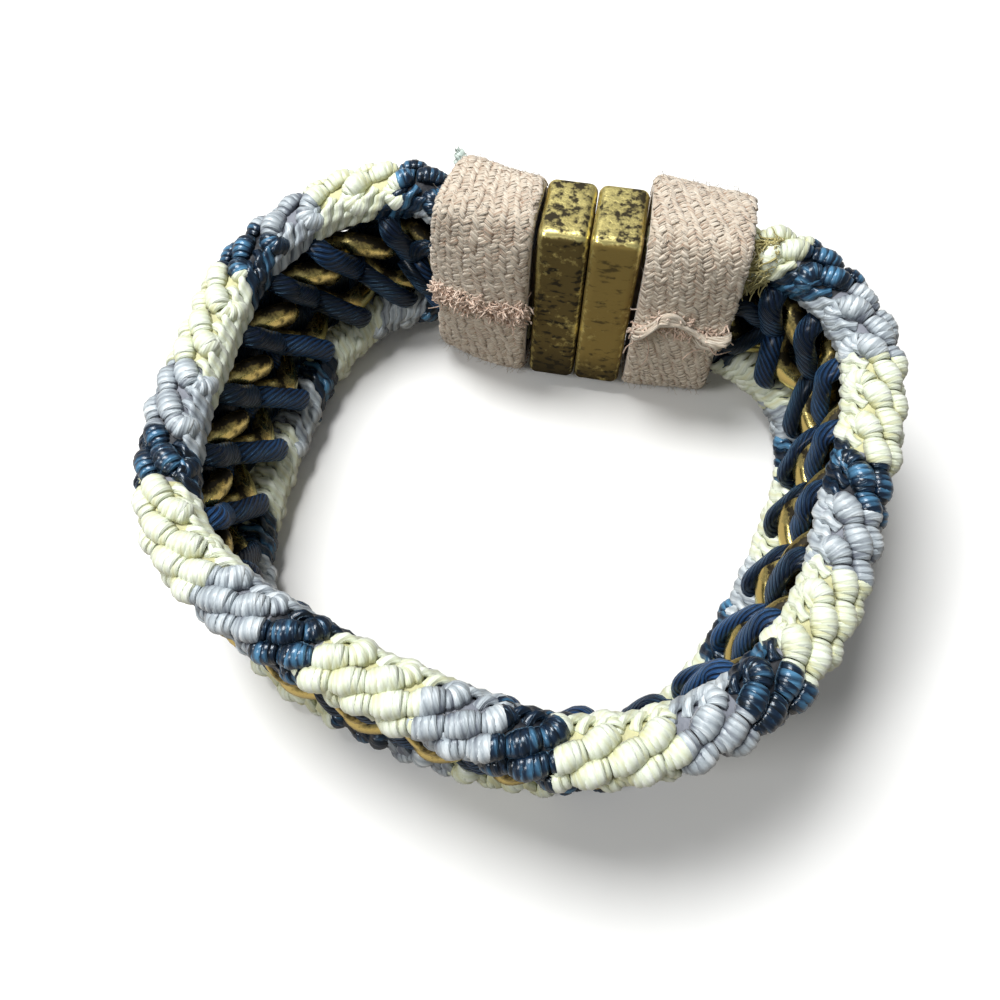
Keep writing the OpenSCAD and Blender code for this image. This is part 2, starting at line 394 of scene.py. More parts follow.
# %% [markdown]
# A material is a tree of nodes. Typing every node by its long name hides the idea, so a short
# helper adds a node, sets its properties and fills its inputs with numbers or with other sockets.
# A few more give the nodes that nearly every tree here needs.

# %% Helpers for nodes
def node(tree, kind, inputs=None, **properties):
    made = tree.nodes.new("ShaderNode" + kind)
    for key, value in properties.items():
        setattr(made, key, value)
    for key, value in (inputs or {}).items():
        if isinstance(value, bpy.types.NodeSocket):
            tree.links.new(value, made.inputs[key])
        else:
            made.inputs[key].default_value = value
    return made


def maths(tree, operation, a, b=0.0, clamp=False):
    return node(tree, "Math", {0: a, 1: b}, operation=operation, use_clamp=clamp).outputs[0]


def blend_colours(tree, factor, a, b):
    return node(tree, "Mix", {0: factor, 6: a, 7: b}, data_type="RGBA").outputs[2]


def map_range(tree, value, low, high, new_low=0.0, new_high=1.0):
    return node(tree, "MapRange", {0: value, 1: low, 2: high, 3: new_low, 4: new_high}).outputs[0]


def noise(tree, place, scale, detail, roughness=0.5):
    return node(tree, "TexNoise", {"Vector": place, "Scale": scale, "Detail": detail,
                                   "Roughness": roughness}).outputs[0]


def kept_values(tree, label):
    """The three numbers that each point keeps under the label."""
    kept = node(tree, "Attribute", attribute_name=label).outputs["Vector"]
    return node(tree, "SeparateXYZ", {0: kept}).outputs


def colour(red, green, blue):
    """A colour from its 0 to 255 values as a picture editor gives them, made linear."""
    return tuple(((c / 255 + 0.055) / 1.055) ** 2.4 if c > 10 else c / 255 / 12.92
                 for c in (red, green, blue)) + (1.0,)


print("a middle grey made linear:", round(colour(128, 128, 128)[0], 3))

# %% [markdown]
# An effect that several materials share is a node group, made once. A group puts out colours,
# masks and values only, and each material keeps its one Principled shader and its constants, so
# that a reader finds the look of a material in one place.

# %% Helpers for groups and materials
def new_group(name, inputs, outputs):
    """An empty shader group with named sockets, and its input and output nodes."""
    tree = bpy.data.node_groups.new(name, "ShaderNodeTree")
    for label, kind, value in inputs:
        socket = tree.interface.new_socket(label, in_out="INPUT", socket_type="NodeSocket" + kind)
        socket.default_value = value
    for label, kind in outputs:
        tree.interface.new_socket(label, in_out="OUTPUT", socket_type="NodeSocket" + kind)
    return tree, tree.nodes.new("NodeGroupInput").outputs, tree.nodes.new("NodeGroupOutput").inputs


def use_group(tree, group, **values):
    made = tree.nodes.new("ShaderNodeGroup")
    made.node_tree = group
    for key, value in values.items():
        socket = made.inputs[key.replace("_", " ")]
        if isinstance(value, bpy.types.NodeSocket):
            tree.links.new(value, socket)
        else:
            socket.default_value = value
    return made.outputs


def new_material(name, **constants):
    """A material with one Principled shader, whose constants are set on its own sockets."""
    material = bpy.data.materials.new(name)
    material.use_nodes = True
    tree = material.node_tree
    shader = tree.nodes["Principled BSDF"]
    for key, value in constants.items():
        shader.inputs[key.replace("_", " ")].default_value = value
    return material, tree, shader


def add_relief(tree, shader, height, depth):
    """Small bumps from a height, up to the given depth in millimetres."""
    bump = node(tree, "Bump", {"Height": height, "Distance": depth * MM})
    tree.links.new(bump.outputs[0], shader.inputs["Normal"])


print("materials so far:", len(bpy.data.materials))

# %% [markdown]
# All the cords are twisted from plies. The group below draws them from the place on the cord that
# every point keeps: the angle round the cord plus a share of the run gives slanting plies, and a
# finer wave in the same direction gives the filaments of each ply. Whole numbers of plies make
# the pattern meet itself behind the cord.

# %% Shared effect: the plies of a twisted cord
def plies_group():
    tree, given, out = new_group(
        "twisted_plies",
        [("Plies", "Float", 3.0), ("Twist", "Float", 2.0), ("Filaments", "Float", 5.0),
         ("Roughness", "Float", 0.5)],
        [("Height", "Float"), ("Groove", "Float")])
    across, up, run = kept_values(tree, "lay")
    angle = maths(tree, "ARCTAN2", up, across)
    phase = maths(tree, "ADD", maths(tree, "MULTIPLY", angle, given["Plies"]),
                  maths(tree, "MULTIPLY", run, given["Twist"]))
    ply = maths(tree, "ABSOLUTE", maths(tree, "COSINE", maths(tree, "MULTIPLY", phase, 0.5)))
    grain = noise(tree, node(tree, "NewGeometry").outputs["Position"], 2600.0, 3.0)
    waver = maths(tree, "MULTIPLY", grain, maths(tree, "MULTIPLY", given["Roughness"], 9.0))
    fine = maths(tree, "SINE", maths(tree, "ADD", maths(tree, "MULTIPLY", phase, given["Filaments"]),
                                     waver))
    height = maths(tree, "ADD", ply, maths(tree, "MULTIPLY", fine, 0.14))
    tree.links.new(height, out["Height"])
    tree.links.new(maths(tree, "SUBTRACT", 1.0, ply, clamp=True), out["Groove"])
    return tree


twisted_plies = plies_group()
print("nodes of the plies:", len(twisted_plies.nodes))

# %% [markdown]
# Dyed cord is never one flat colour: each strand took the dye a little differently, which the tone
# that each strand keeps and soft noise give. The group also paints shade into the colour in the
# grooves and where a strand dives under its neighbour, and paints a highlight on its crests, by a
# value for painted light that each ring keeps.

# %% Shared effect: the colour of dyed thread, with painted shade and highlights
def dye_and_painted_light_group():
    tree, given, out = new_group(
        "dye_and_painted_light",
        [("Deep", "Color", (0, 0, 0, 1)), ("Body", "Color", (0.5, 0.5, 0.5, 1)),
         ("Light", "Color", (1, 1, 1, 1)), ("Groove", "Float", 0.0), ("Patch Scale", "Float", 300.0),
         ("Variation", "Float", 0.5)],
        [("Color", "Color")])
    tone, painted_light, _ = kept_values(tree, "mark")
    place = node(tree, "NewGeometry").outputs["Position"]
    patches = noise(tree, place, given["Patch Scale"], 4.0, 0.6)
    # Painted shade darkens the ply grooves and the low rings, and a painted highlight lightens the high
    # rings; tone and the patches are the real differences of the dye.
    depth = maths(tree, "MULTIPLY", given["Groove"], 0.55)
    worn = maths(tree, "MULTIPLY", maths(tree, "SUBTRACT", patches, 0.5), given["Variation"])
    own = maths(tree, "MULTIPLY", maths(tree, "SUBTRACT", tone, 0.5), given["Variation"])
    level = maths(tree, "ADD", maths(tree, "SUBTRACT", painted_light, depth), maths(tree, "ADD", worn, own))
    low = blend_colours(tree, map_range(tree, level, 0.0, 0.6), given["Deep"], given["Body"])
    made = blend_colours(tree, map_range(tree, level, 0.65, 1.25), low, given["Light"])
    tree.links.new(made, out["Color"])
    return tree


dye_and_painted_light = dye_and_painted_light_group()
print("nodes of the dye:", len(dye_and_painted_light.nodes))

# %% [markdown]
# Three dyes make the bands: a warm cream, a cool lavender grey and a navy. Each gets a painted shade
# colour, its body colour and a painted highlight colour, and the navy's painted highlight is bright
# blue. Satin cord has a soft gloss, so the roughness is middling with a little coat, and navy gets a
# blue sheen. The same function makes all three, each with its own colours, relief and gloss.

# %% Cord materials
def cord_material(name, deep, body, light, twist, relief, variation=0.5, plies=3.0, filaments=4.0,
                  **constants):
    """A dyed cord, with a painted shade colour (deep), its body colour and a painted highlight colour
    (light). The constants are those of its shader, such as its roughness and sheen.
    """
    material, tree, shader = new_material(name, **constants)
    strands = use_group(tree, twisted_plies, Plies=plies, Twist=twist, Filaments=filaments)
    tint = use_group(tree, dye_and_painted_light, Deep=deep, Body=body, Light=light, Variation=variation,
                     Groove=strands["Groove"])
    tree.links.new(tint["Color"], shader.inputs["Base Color"])
    add_relief(tree, shader, strands["Height"], relief)
    return material


cream_cord = cord_material(
    "cream_cord", colour(206, 206, 162), colour(221, 228, 206), colour(247, 251, 243), 1.6, 0.06,
    variation=0.36, Roughness=0.42, Sheen_Weight=0.25, Sheen_Roughness=0.4, Coat_Weight=0.12,
    Coat_Roughness=0.3)
grey_cord = cord_material(
    "grey_cord", colour(96, 102, 114), colour(172, 182, 188), colour(238, 245, 248), 1.6, 0.08,
    variation=0.42, Roughness=0.4, Sheen_Weight=0.25, Sheen_Roughness=0.4, Coat_Weight=0.15,
    Coat_Roughness=0.28)
navy_cord = cord_material(
    "navy_cord", colour(2, 5, 12), colour(12, 32, 54), colour(84, 138, 176), 1.6, 0.1,
    variation=0.7, Roughness=0.32, Specular_Tint=colour(190, 222, 245), Sheen_Weight=0.3,
    Sheen_Roughness=0.3, Sheen_Tint=colour(140, 185, 220), Coat_Weight=0.7, Coat_Roughness=0.2)
CORDS = [("cream", cream_cord), ("grey", grey_cord), ("navy", navy_cord)]
print("cord materials:", [m.name for _, m in CORDS])

# %% [markdown]
# Each band is macrame: rows of knots tied over slanting bearer cords. Seen from outside, a row
# climbs like a slash from the chain to the free edge, turns over it and ends on the inner
# shoulder. The inner side shows the long floats of the knotting cords. The lower band is the
# upper one turned over by half a turn in its own plane, so one set of functions serves both.
# The band's cross section is a rounded oblong, the same as the solid's.

# %% A band's cross section
BAND_SQUARENESS = 0.85
UPPER, LOWER = 1, -1


def squared(c, power):
    return np.sign(c) * np.abs(c) ** power


def own_u(u, side):
    """A place along the upper band, or along the lower band turned over, as a place on the wall."""
    return u if side == UPPER else PATH_L - u


def section(turn, sink):
    """Outward and upward place on a band's cross section, sunk below its surface."""
    a = (BAND_T / 2 - sink) * squared(np.cos(turn), BAND_SQUARENESS)
    v = (BAND_H / 2 - sink) * squared(np.sin(turn), BAND_SQUARENESS)
    return a, v


print("half thickness and half height of a band in mm:",
      [round(float(part), 2) for part in (section(0.0, 0)[0], section(math.pi / 2, 0)[1])])

# %% [markdown]
# Knots and floats are laid on the band by two numbers, the place along it and the turn round it.
# The surface also gives them its outward direction. Near the ribbon the section gets smaller,
# because the wrapped ends are squeezed flat.

# %% The surface of a band
BAND_MIDDLE = (WALL_H - BAND_H) / 2
WRAP_WALL = 1.8
CLEARANCE = 0.1
SQUEEZE_H = (WRAP_H - 2 * WRAP_WALL - 4 * CLEARANCE) / WALL_H
SQUEEZE_T = (WRAP_T - 2 * WRAP_WALL - 6 * CLEARANCE) / BAND_T
PINCH_RAMP = 2.5
NORMAL_REACH = 0.3


def band_point(u, turn, sink, side):
    """A point of a band at its own u, with the squeeze that the ribbon gives its ends."""
    a, v = section(turn, sink)
    real = own_u(u, side)
    pinched = smooth(1 - past_mouth(real) / PINCH_RAMP)
    return wall_point(real, a * (1 - (1 - SQUEEZE_T) * pinched),
                      side * (BAND_MIDDLE + v) * (1 - (1 - SQUEEZE_H) * pinched))


def band_normal(u, turn, sink, side):
    """The outward direction of the band's surface."""
    across = (band_point(u, turn + NORMAL_REACH, sink, side)
              - band_point(u, turn - NORMAL_REACH, sink, side))
    along = (band_point(u + NORMAL_REACH, turn, sink, side)
             - band_point(u - NORMAL_REACH, turn, sink, side))
    normal = unit(np.cross(along, across))
    core = wall_point(own_u(u, side), 0 * u, side * (BAND_MIDDLE + 0 * u))
    away = band_point(u, turn, sink, side) - core
    return normal * np.sign((normal * away).sum(-1, keepdims=True))


free_edge = band_point(np.array([FRONT_U]), np.array([math.pi / 2]), 0, UPPER)
print("height of the upper band's free edge at the front:", round(float(free_edge[0, 2]), 2))

# %% [markdown]
# The stripes run down over the edge. An even repeat would be simpler, but on the real band each
# stripe has its own width. So the middles of the navy stripes are listed as distances along the
# line in millimetres. Going round, a navy stripe is followed by cream and then grey.

# %% Stripes of colour
UPPER_NAVY = np.array([17, 34, 55.5, 76, 95.5, 114, 133, 154.5])
LOWER_NAVY = np.array([11.8, 31.8, 53.8, 74.8, 95.3, 116.3, 136.8, 157.8])
NAVY_HALF = 2.3
CREAM_SHARE = 0.58


def stripe_at(u, side):
    """0 for cream, 1 for grey and 2 for navy at a place along a band."""
    navy = UPPER_NAVY if side == UPPER else LOWER_NAVY
    navy = np.concatenate([navy[-1:] - PATH_L, navy, navy[:1] + PATH_L])
    k = np.clip(np.searchsorted(navy, u) - 1, 0, len(navy) - 2)
    share = (u - navy[k]) / (navy[k + 1] - navy[k])
    near = np.minimum(u - navy[k], navy[k + 1] - u) < NAVY_HALF
    return np.where(near, 2, np.where(share < CREAM_SHARE, 0, 1))


print("stripes of the upper band at the front:", stripe_at(np.arange(80.0, 110, 5), UPPER))

# %% [markdown]
# One row of knots is a line over the surface that slants as the rows of the solid do. It could be
# drawn as one twisted cord, but then the knots would not show. So it is walked in steps of even
# length, and each step is the place of one loop of cord.

# %% Steps along a row of knots
RIB_PITCH = 4.1
RIB_LEAN = 1.15
RIB_SKEW = 1.35
ROW_FROM = math.radians(-76)
ROW_TO = math.radians(188)
ROW_SAMPLES = 400
LOOP_STEP = 0.58
ARCH_RISE = 0.82
LOOP_THICK = 0.30
ROW_SINK = ARCH_RISE + LOOP_THICK - 0.02


def row_steps(spacing):
    """Turn and shift along the band for evenly spaced places on one slanting row."""
    turn = np.linspace(ROW_FROM, ROW_TO, ROW_SAMPLES)
    a, v = section(turn, ROW_SINK / 2)
    shift = RIB_LEAN * (v - RIB_SKEW * a)
    run = run_along(np.stack([shift, a, v], -1))
    places = np.arange(spacing / 2, run[-1], spacing)
    return np.interp(places, run, turn), np.interp(places, run, shift)


print("loops in a row:", len(row_steps(LOOP_STEP)[0]))

# %% [markdown]
# Five loops crowd into a knot, which swells in its middle. A little seeded change in size, height
# and slant keeps the knots from looking printed. All the loops of a band are worked out together,
# as one array for each measure, because there are thousands of them.

# %% Measures of the loops
LOOPS_PER_KNOT = 5
KNOT_CROWDING = 0.2
KNOT_SWELL = 0.55
MEAN_SWELL = 0.7
KNOT_SCATTER = 0.07
LOOP_SCATTER = 0.02
LOOP_SLANT = 0.16
ROW_MARGIN = 12
UNDER_RIBBON = 1.2


def loop_measures(side):
    """Places of all the loops of a band, with their swell, lump, size, crowding and slant."""
    turn, shift = row_steps(LOOP_STEP)
    starts = np.arange(MOUTH_LEFT - ROW_MARGIN, PATH_L, RIB_PITCH)
    u = (starts[:, None] + shift).ravel()
    place = np.arange(len(turn)) + rng.integers(0, LOOPS_PER_KNOT, (len(starts), 1))
    share = ((place % LOOPS_PER_KNOT + 0.5) / LOOPS_PER_KNOT).ravel()
    turn = np.broadcast_to(turn, (len(starts), len(turn))).ravel()
    kept = past_mouth(own_u(u, side)) > -UNDER_RIBBON
    u, turn, share = u[kept], turn[kept], share[kept]
    count = len(u)
    swell = np.sin(np.pi * share)
    knot = np.cumsum(share < 0.5 / LOOPS_PER_KNOT + 0.01)
    own = rng.normal(0, KNOT_SCATTER, knot[-1] + 1)[knot]
    lump = KNOT_SWELL * (swell - MEAN_SWELL) + own + rng.normal(0, LOOP_SCATTER, count)
    size = 0.78 + 0.3 * swell + own / 2 + rng.normal(0, LOOP_SCATTER, count)
    crowd = KNOT_CROWDING * (0.5 - share) * LOOPS_PER_KNOT / 2
    slant = LOOP_SLANT + rng.normal(0, LOOP_SLANT / 4, count)
    return u, turn, swell, lump, size, crowd, slant


print("width of a whole knot along its row in mm:", round(LOOPS_PER_KNOT * LOOP_STEP, 1))

# %% [markdown]
# A loop lies across its row, so it needs three directions: out of the surface, along the row and
# across it. The row's own direction is found by a small step forward and back on the slanting
# line, which is simpler than its formula.

# %% Directions of a row
TURN_STEP = 0.02


def row_directions(u, turn, side):
    """Directions out of the surface, along the row and across it."""
    normal = band_normal(u, turn, ROW_SINK, side)
    a0, v0 = section(turn - TURN_STEP, ROW_SINK)
    a1, v1 = section(turn + TURN_STEP, ROW_SINK)
    rate = RIB_LEAN * ((v1 - v0) - RIB_SKEW * (a1 - a0))
    ahead = band_point(u + rate / 2, turn + TURN_STEP, ROW_SINK, side)
    behind = band_point(u - rate / 2, turn - TURN_STEP, ROW_SINK, side)
    row = unit(ahead - behind)
    row = unit(row - (row * normal).sum(-1, keepdims=True) * normal)
    return normal, row, np.cross(normal, row)


outer_row = row_directions(np.array([FRONT_U]), np.array([0.0]), UPPER)[1]
print("slope of a row at the front in degrees:", round(math.degrees(math.asin(outer_row[0, 2])), 1))

# %% [markdown]
# Each loop is an arch of cord over the bearer cord, whose two ends dive beside it. An arch of a
# few rings is enough, because smooth shading rounds it. Its value for painted light is high on top
# and low at its ends, more so in a knot's swollen middle, so that painted shade darkens the cord
# where the loops dive and a painted highlight lightens its top.

# %% Arches of the loops
LOOP_WIDE = 0.56
ARCH_HALF = 0.80
ARCH_BEND = 84
ARCH_RINGS = 8


def knot_loops(side):
    """Middle lines and half axes of all the loops of a band, with their colours."""
    u, turn, swell, lump, size, crowd, slant = loop_measures(side)
    core = band_point(u, turn, ROW_SINK, side)
    normal, row, across = row_directions(u, turn, side)
    bend = np.radians(np.linspace(-ARCH_BEND, ARCH_BEND, ARCH_RINGS))
    rise = (ARCH_RISE + lump)[:, None, None]
    half = (ARCH_HALF * size)[:, None, None]
    sin, cos = np.sin(bend)[None, :, None], np.cos(bend)[None, :, None]
    centre = (core[:, None] + half * sin * across[:, None] + rise * cos * normal[:, None]
              + (crowd[:, None, None] + slant[:, None, None] * sin) * row[:, None])
    away = unit(sin * across[:, None] / half + cos * normal[:, None] / rise)
    wide = np.broadcast_to(row[:, None], centre.shape) * (LOOP_WIDE * size)[:, None, None]
    thick = away * LOOP_THICK
    # Painted light: a highlight on top of each arch and painted shade at its diving ends.
    painted_light = np.clip(cos[..., 0], 0, 1) ** 0.7 * (0.66 + 0.34 * swell[:, None])
    return centre, wide, thick, painted_light, stripe_at(u, side), rng.random(len(u))


print("height of a loop's arch in mm:", ARCH_RISE)

# %% [markdown]
# The loops are made into one mesh for each dye, so that every mesh has one material. Both bands
# come from the same function, first the upper one.

# %% Knots of both bands
LOOP_SIDES = 7


def make_knots(side, label):
    centre, wide, thick, painted_light, stripes, tone = knot_loops(side)
    print(label, "loops:", len(centre))
    for k, (dye, material) in enumerate(CORDS):
        chosen = stripes == k
        gathered = Gathered()
        gathered.add_tubes(centre[chosen], wide[chosen], thick[chosen], LOOP_SIDES, tone[chosen],
                           painted_light[chosen])
        gathered.make(f"{label}_knots_{dye}", material)


make_knots(UPPER, "upper")
make_knots(LOWER, "lower")

# %% [markdown]
# Under the knots lies the body of the band, which closes the gaps between the rows. It stands in
# for the solid band, so it is one closed tube with the solid's own section, sunk to the foot of
# the knots. Its stripes are kept in each point's mark, and the material mixes the three dyes, each
# painted darker than its cord as the shade in the gaps between the knots.

# %% Band cores
CORE_START = CLASP_HALF_L + 0.3
CORE_RISE = 0.12
CORE_CREST = 0.5
CORE_RINGS = 220
CORE_SIDES = 20


def core_material():
    material, tree, shader = new_material("band_core", Roughness=0.6)
    stripe = kept_values(tree, "mark")[2]
    # Painted shade: each stripe colour is its dye darkened, as it lies in the gaps between the knots.
    cream_or_grey = blend_colours(tree, map_range(tree, stripe, 0.45, 0.55),
                                  colour(198, 196, 150), colour(124, 128, 138))
    made = blend_colours(tree, map_range(tree, stripe, 1.45, 1.55), cream_or_grey, colour(6, 12, 24))
    tree.links.new(made, shader.inputs["Base Color"])
    grain = noise(tree, node(tree, "NewGeometry").outputs["Position"], 1800.0, 4.0)
    add_relief(tree, shader, grain, 0.1)
    return material


def make_core(side, label, material):
    u = np.linspace(CORE_START, PATH_L - CORE_START, CORE_RINGS)
    angle = 2 * np.pi * (np.arange(CORE_SIDES) + 0.5) / CORE_SIDES
    grid_u, grid_t = np.broadcast_arrays(u[::side, None], angle[None])
    points = band_point(grid_u, grid_t, ROW_SINK - CORE_RISE, side)
    mark = np.zeros(points.shape)
    mark[..., 2] = stripe_at(grid_u.ravel(), side).reshape(grid_u.shape)
    mark[..., 1] = CORE_CREST
    ends = points[[0, -1]].mean(1)
    quads, caps = tube_faces(1, CORE_RINGS, CORE_SIDES)
    gathered = Gathered()
    gathered.add(np.concatenate([points.reshape(-1, 3), ends]), quads,
                 np.concatenate([mark.reshape(-1, 3), mark[[0, -1], 0]]), caps)
    gathered.make(f"{label}_core", material, [f"{label}_band"])


band_core = core_material()
make_core(UPPER, "upper", band_core)
make_core(LOWER, "lower", band_core)

# %% [markdown]
# On the inner side the knotting cords run free from one row to the next. They lie side by side
# and slant down towards the chain, three to each row of knots. On the outer side the same cords
# lie deeper and cross the gaps between the rows of knots. So two dictionaries hold how far each
# kind goes round the band, how deep it lies and how much it slants, and one function lays both.

# %% Places of the floats
INNER_FLOATS = {"first_turn": math.radians(126), "last_turn": math.radians(272), "rings": 31,
                "deep": 0.6, "lean": 1.0, "dye_ring": 0, "draws": rng}
OUTER_FLOATS = {"first_turn": math.radians(-105), "last_turn": math.radians(55), "rings": 13,
                "deep": 0.84, "lean": 0.5, "dye_ring": 6, "draws": np.random.default_rng(5)}
FLOATS_PER_ROW = 3
FLOAT_MARGIN = 6
FLOAT_SCATTER = 0.05
FLOAT_UNDER_RIBBON = 3
FLOAT_DIVE = 0.4
DIVE_TURN = 0.6
FLOAT_WIDE = 0.55
FLOAT_THICK = 0.48


def band_floats(side, first_turn, last_turn, rings, deep, lean, dye_ring, draws):
    """Middle lines and half axes of one kind of float, with their colours."""
    starts = np.arange(MOUTH_LEFT - FLOAT_MARGIN, PATH_L, RIB_PITCH / FLOATS_PER_ROW)
    starts = starts + draws.normal(0, FLOAT_SCATTER, len(starts))
    turn = np.linspace(first_turn, last_turn, rings)
    _, v = section(turn, deep)
    u = starts[:, None] + lean * (v[0] - v)[None]
    turn = np.broadcast_to(turn, u.shape)
    free = past_mouth(own_u(u, side))
    kept = (free.min(1) > -FLOAT_UNDER_RIBBON) & (free.max(1) > 0)
    u, turn = u[kept], turn[kept]
    dive = FLOAT_DIVE * smooth(1 - (turn - first_turn) / DIVE_TURN) * (first_turn > 0)
    sink = deep + dive + draws.normal(0, FLOAT_SCATTER, (len(u), 1))
    centre = band_point(u, turn, sink, side)
    normal = band_normal(u, turn, deep, side)
    wide = unit(np.cross(normal, unit(np.gradient(centre, axis=1))))
    ends = np.sin(np.linspace(0.25, np.pi - 0.25, rings))[None, :, None] ** 0.3
    return (centre, wide * FLOAT_WIDE * ends, normal * FLOAT_THICK * ends,
            stripe_at(u[:, dye_ring], side), draws.random(len(u)))


print("gap between inner floats in mm:", round(RIB_PITCH / FLOATS_PER_ROW, 2))

# %% [markdown]
# Each float is a flattened tube of two plies. The plies of the knots are only a relief in the
# material, but here they are real geometry, because the photo shows this side from near by. The
# outer floats lie deeper between the knots, so they get a lower value for painted light and are
# painted darker, as shade.

# %% Floats of both bands
PLY_TURN = 1.7
PLY_SWELL = 0.32
INNER_SIDES = 8
# Values for painted light: the deeper outer floats get painted shade.
INNER_PAINTED_LIGHT = 0.8
OUTER_SIDES = 7
OUTER_PAINTED_LIGHT = 0.5


def make_floats(side, label):
    floats = [(band_floats(side, **INNER_FLOATS), INNER_SIDES, INNER_PAINTED_LIGHT),
              (band_floats(side, **OUTER_FLOATS), OUTER_SIDES, OUTER_PAINTED_LIGHT)]
    for k, (dye, material) in enumerate(CORDS):
        gathered = Gathered()
        for (centre, wide, thick, stripes, tone), sides, painted_light in floats:
            chosen = stripes == k
            spin = run_along(centre[chosen]) * math.pi / PLY_TURN
            gathered.add_tubes(centre[chosen], wide[chosen], thick[chosen], sides, tone[chosen], painted_light,
                               plies=2, swell=PLY_SWELL, spin=spin)
        gathered.make(f"{label}_floats_{dye}", material)


make_floats(UPPER, "upper")
make_floats(LOWER, "lower")

# %% [markdown]
# The chain is a curb chain in worn antique brass. All its links have one shape: an oval of wire
# whose two ends turn opposite ways, flattened as if filed. The link is modelled once in its own
# directions, and each object places that mesh where its solid lies.

# %% Places of the links
LINK_COUNT = 24
LINK_L = 8.8
LINK_H = 6.6
LINK_TWIST = math.radians(58)
LINK_SQUARENESS = 0.85
CHAIN_START = CLASP_HALF_L + LINK_L / 2
LINK_PITCH = (PATH_L - 2 * CHAIN_START) / LINK_COUNT
LINK_U = CHAIN_START + LINK_PITCH * (np.arange(LINK_COUNT) + 0.5)


def link_places():
    """Middle of each link with its directions along, outwards and up, as in the solids."""
    joints = wall_frame(CHAIN_START + LINK_PITCH * np.arange(LINK_COUNT + 1))[0]
    middle = (joints[1:] + joints[:-1]) / 2
    along = unit(joints[1:] - joints[:-1])
    thick = wall_frame(LINK_U)[2]
    out = unit(thick - (thick * along).sum(-1, keepdims=True) * along)
    return middle, along, out, np.cross(along, -out)


LINK_MIDDLE, LINK_ALONG, LINK_OUT, LINK_UP = link_places()


def on_link(i, rows):
    """Points given along, outwards and up from a link's middle, for link numbers i."""
    i = np.asarray(i)
    return (LINK_MIDDLE[i][:, None] + rows[..., 0:1] * LINK_ALONG[i][:, None]
            + rows[..., 1:2] * LINK_OUT[i][:, None] + rows[..., 2:3] * LINK_UP[i][:, None])


print("link pitch in mm:", round(LINK_PITCH, 2))

# %% [markdown]
# Old brass is dark olive in its pits and bright where it rubs. An even brown would look like
# paint, so the group mixes a tarnished and a clean colour by noise of two sizes and by a wear
# value, which is high on edges. It also gives a roughness and a height, so that the tarnish is
# duller than the metal and lies in small pits.

# %% Shared effect: old brass
def old_brass_group():
    tree, given, out = new_group(
        "old_brass",
        [("Clean", "Color", (0.5, 0.4, 0.15, 1)), ("Bright", "Color", (0.8, 0.7, 0.4, 1)),
         ("Tarnish", "Color", (0.03, 0.03, 0.01, 1)), ("Wear", "Float", 0.0),
         ("Spot Scale", "Float", 900.0), ("Spots", "Float", 0.5), ("Stain", "Float", 0.5)],
        [("Color", "Color"), ("Roughness", "Float"), ("Metallic", "Float"), ("Height", "Float")])
    place = node(tree, "TexCoord").outputs["Object"]
    spots = noise(tree, place, given["Spot Scale"], 5.0, 0.65)
    wide = noise(tree, place, maths(tree, "MULTIPLY", given["Spot Scale"], 0.22), 3.0)
    kept = maths(tree, "SUBTRACT", spots, maths(tree, "MULTIPLY", given["Spots"], 0.4))
    kept = maths(tree, "ADD", kept, maths(tree, "MULTIPLY", given["Wear"], 0.4))
    stained = maths(tree, "MULTIPLY", maths(tree, "SUBTRACT", wide, 0.5), given["Stain"])
    clean = map_range(tree, maths(tree, "ADD", kept, stained), 0.2, 0.42)
    shine = map_range(tree, maths(tree, "ADD", wide, maths(tree, "MULTIPLY", given["Wear"], 0.7)),
                      0.45, 0.9)
    metal = blend_colours(tree, shine, given["Clean"], given["Bright"])
    tree.links.new(blend_colours(tree, clean, given["Tarnish"], metal), out["Color"])
    fine = noise(tree, place, 3500.0, 3.0)
    rough = maths(tree, "ADD", map_range(tree, clean, 0.0, 1.0, 0.56, 0.22),
                  maths(tree, "MULTIPLY", fine, 0.14))
    rough = maths(tree, "SUBTRACT", rough, maths(tree, "MULTIPLY", given["Wear"], 0.1), clamp=True)
    tree.links.new(rough, out["Roughness"])
    tree.links.new(map_range(tree, clean, 0.0, 1.0, 0.55, 1.0), out["Metallic"])
    tree.links.new(maths(tree, "ADD", clean, maths(tree, "MULTIPLY", fine, 0.4)), out["Height"])
    return tree


old_brass = old_brass_group()
print("nodes of the old brass:", len(old_brass.nodes))

# %% [markdown]
# The chain and the clasp are the same metal with a different age. The tarnish itself goes from
# dark to pale, by a value that each point keeps, and short level scratches darken it again. They
# are noise that is stretched by a mapping node, which costs less than drawn scratches. The clasp
# is handled more than the chain, so its tarnish is paler, and it is a little duller all over.

# %% Brass of the chain and the clasp
SCRATCH_SCALE = (850, 850, 1800)


def brass_material(name, relief, dark, pale, wear_scale=1.0, dull=0.0, **look):
    """Old brass. The mark says how pale the tarnish is, and short dark scratches cross it."""
    material, tree, shader = new_material(name)
    pale_share, worn, _ = kept_values(tree, "mark")
    wear = maths(tree, "MULTIPLY", worn, wear_scale)
    place = node(tree, "Mapping", {"Vector": node(tree, "TexCoord").outputs["Object"],
                                   "Scale": SCRATCH_SCALE}).outputs[0]
    scratch = map_range(tree, noise(tree, place, 1.0, 4.0), 0.53, 0.68, 0.0, 0.8)
    paleness = maths(tree, "SUBTRACT", pale_share, scratch, clamp=True)
    metal = use_group(tree, old_brass, Wear=wear, Tarnish=blend_colours(tree, paleness, dark, pale),
                      **look)
    for key, socket in (("Color", "Base Color"), ("Metallic", "Metallic")):
        tree.links.new(metal[key], shader.inputs[socket])
    tree.links.new(maths(tree, "ADD", metal["Roughness"], dull), shader.inputs["Roughness"])
    add_relief(tree, shader, metal["Height"], relief)
    return material


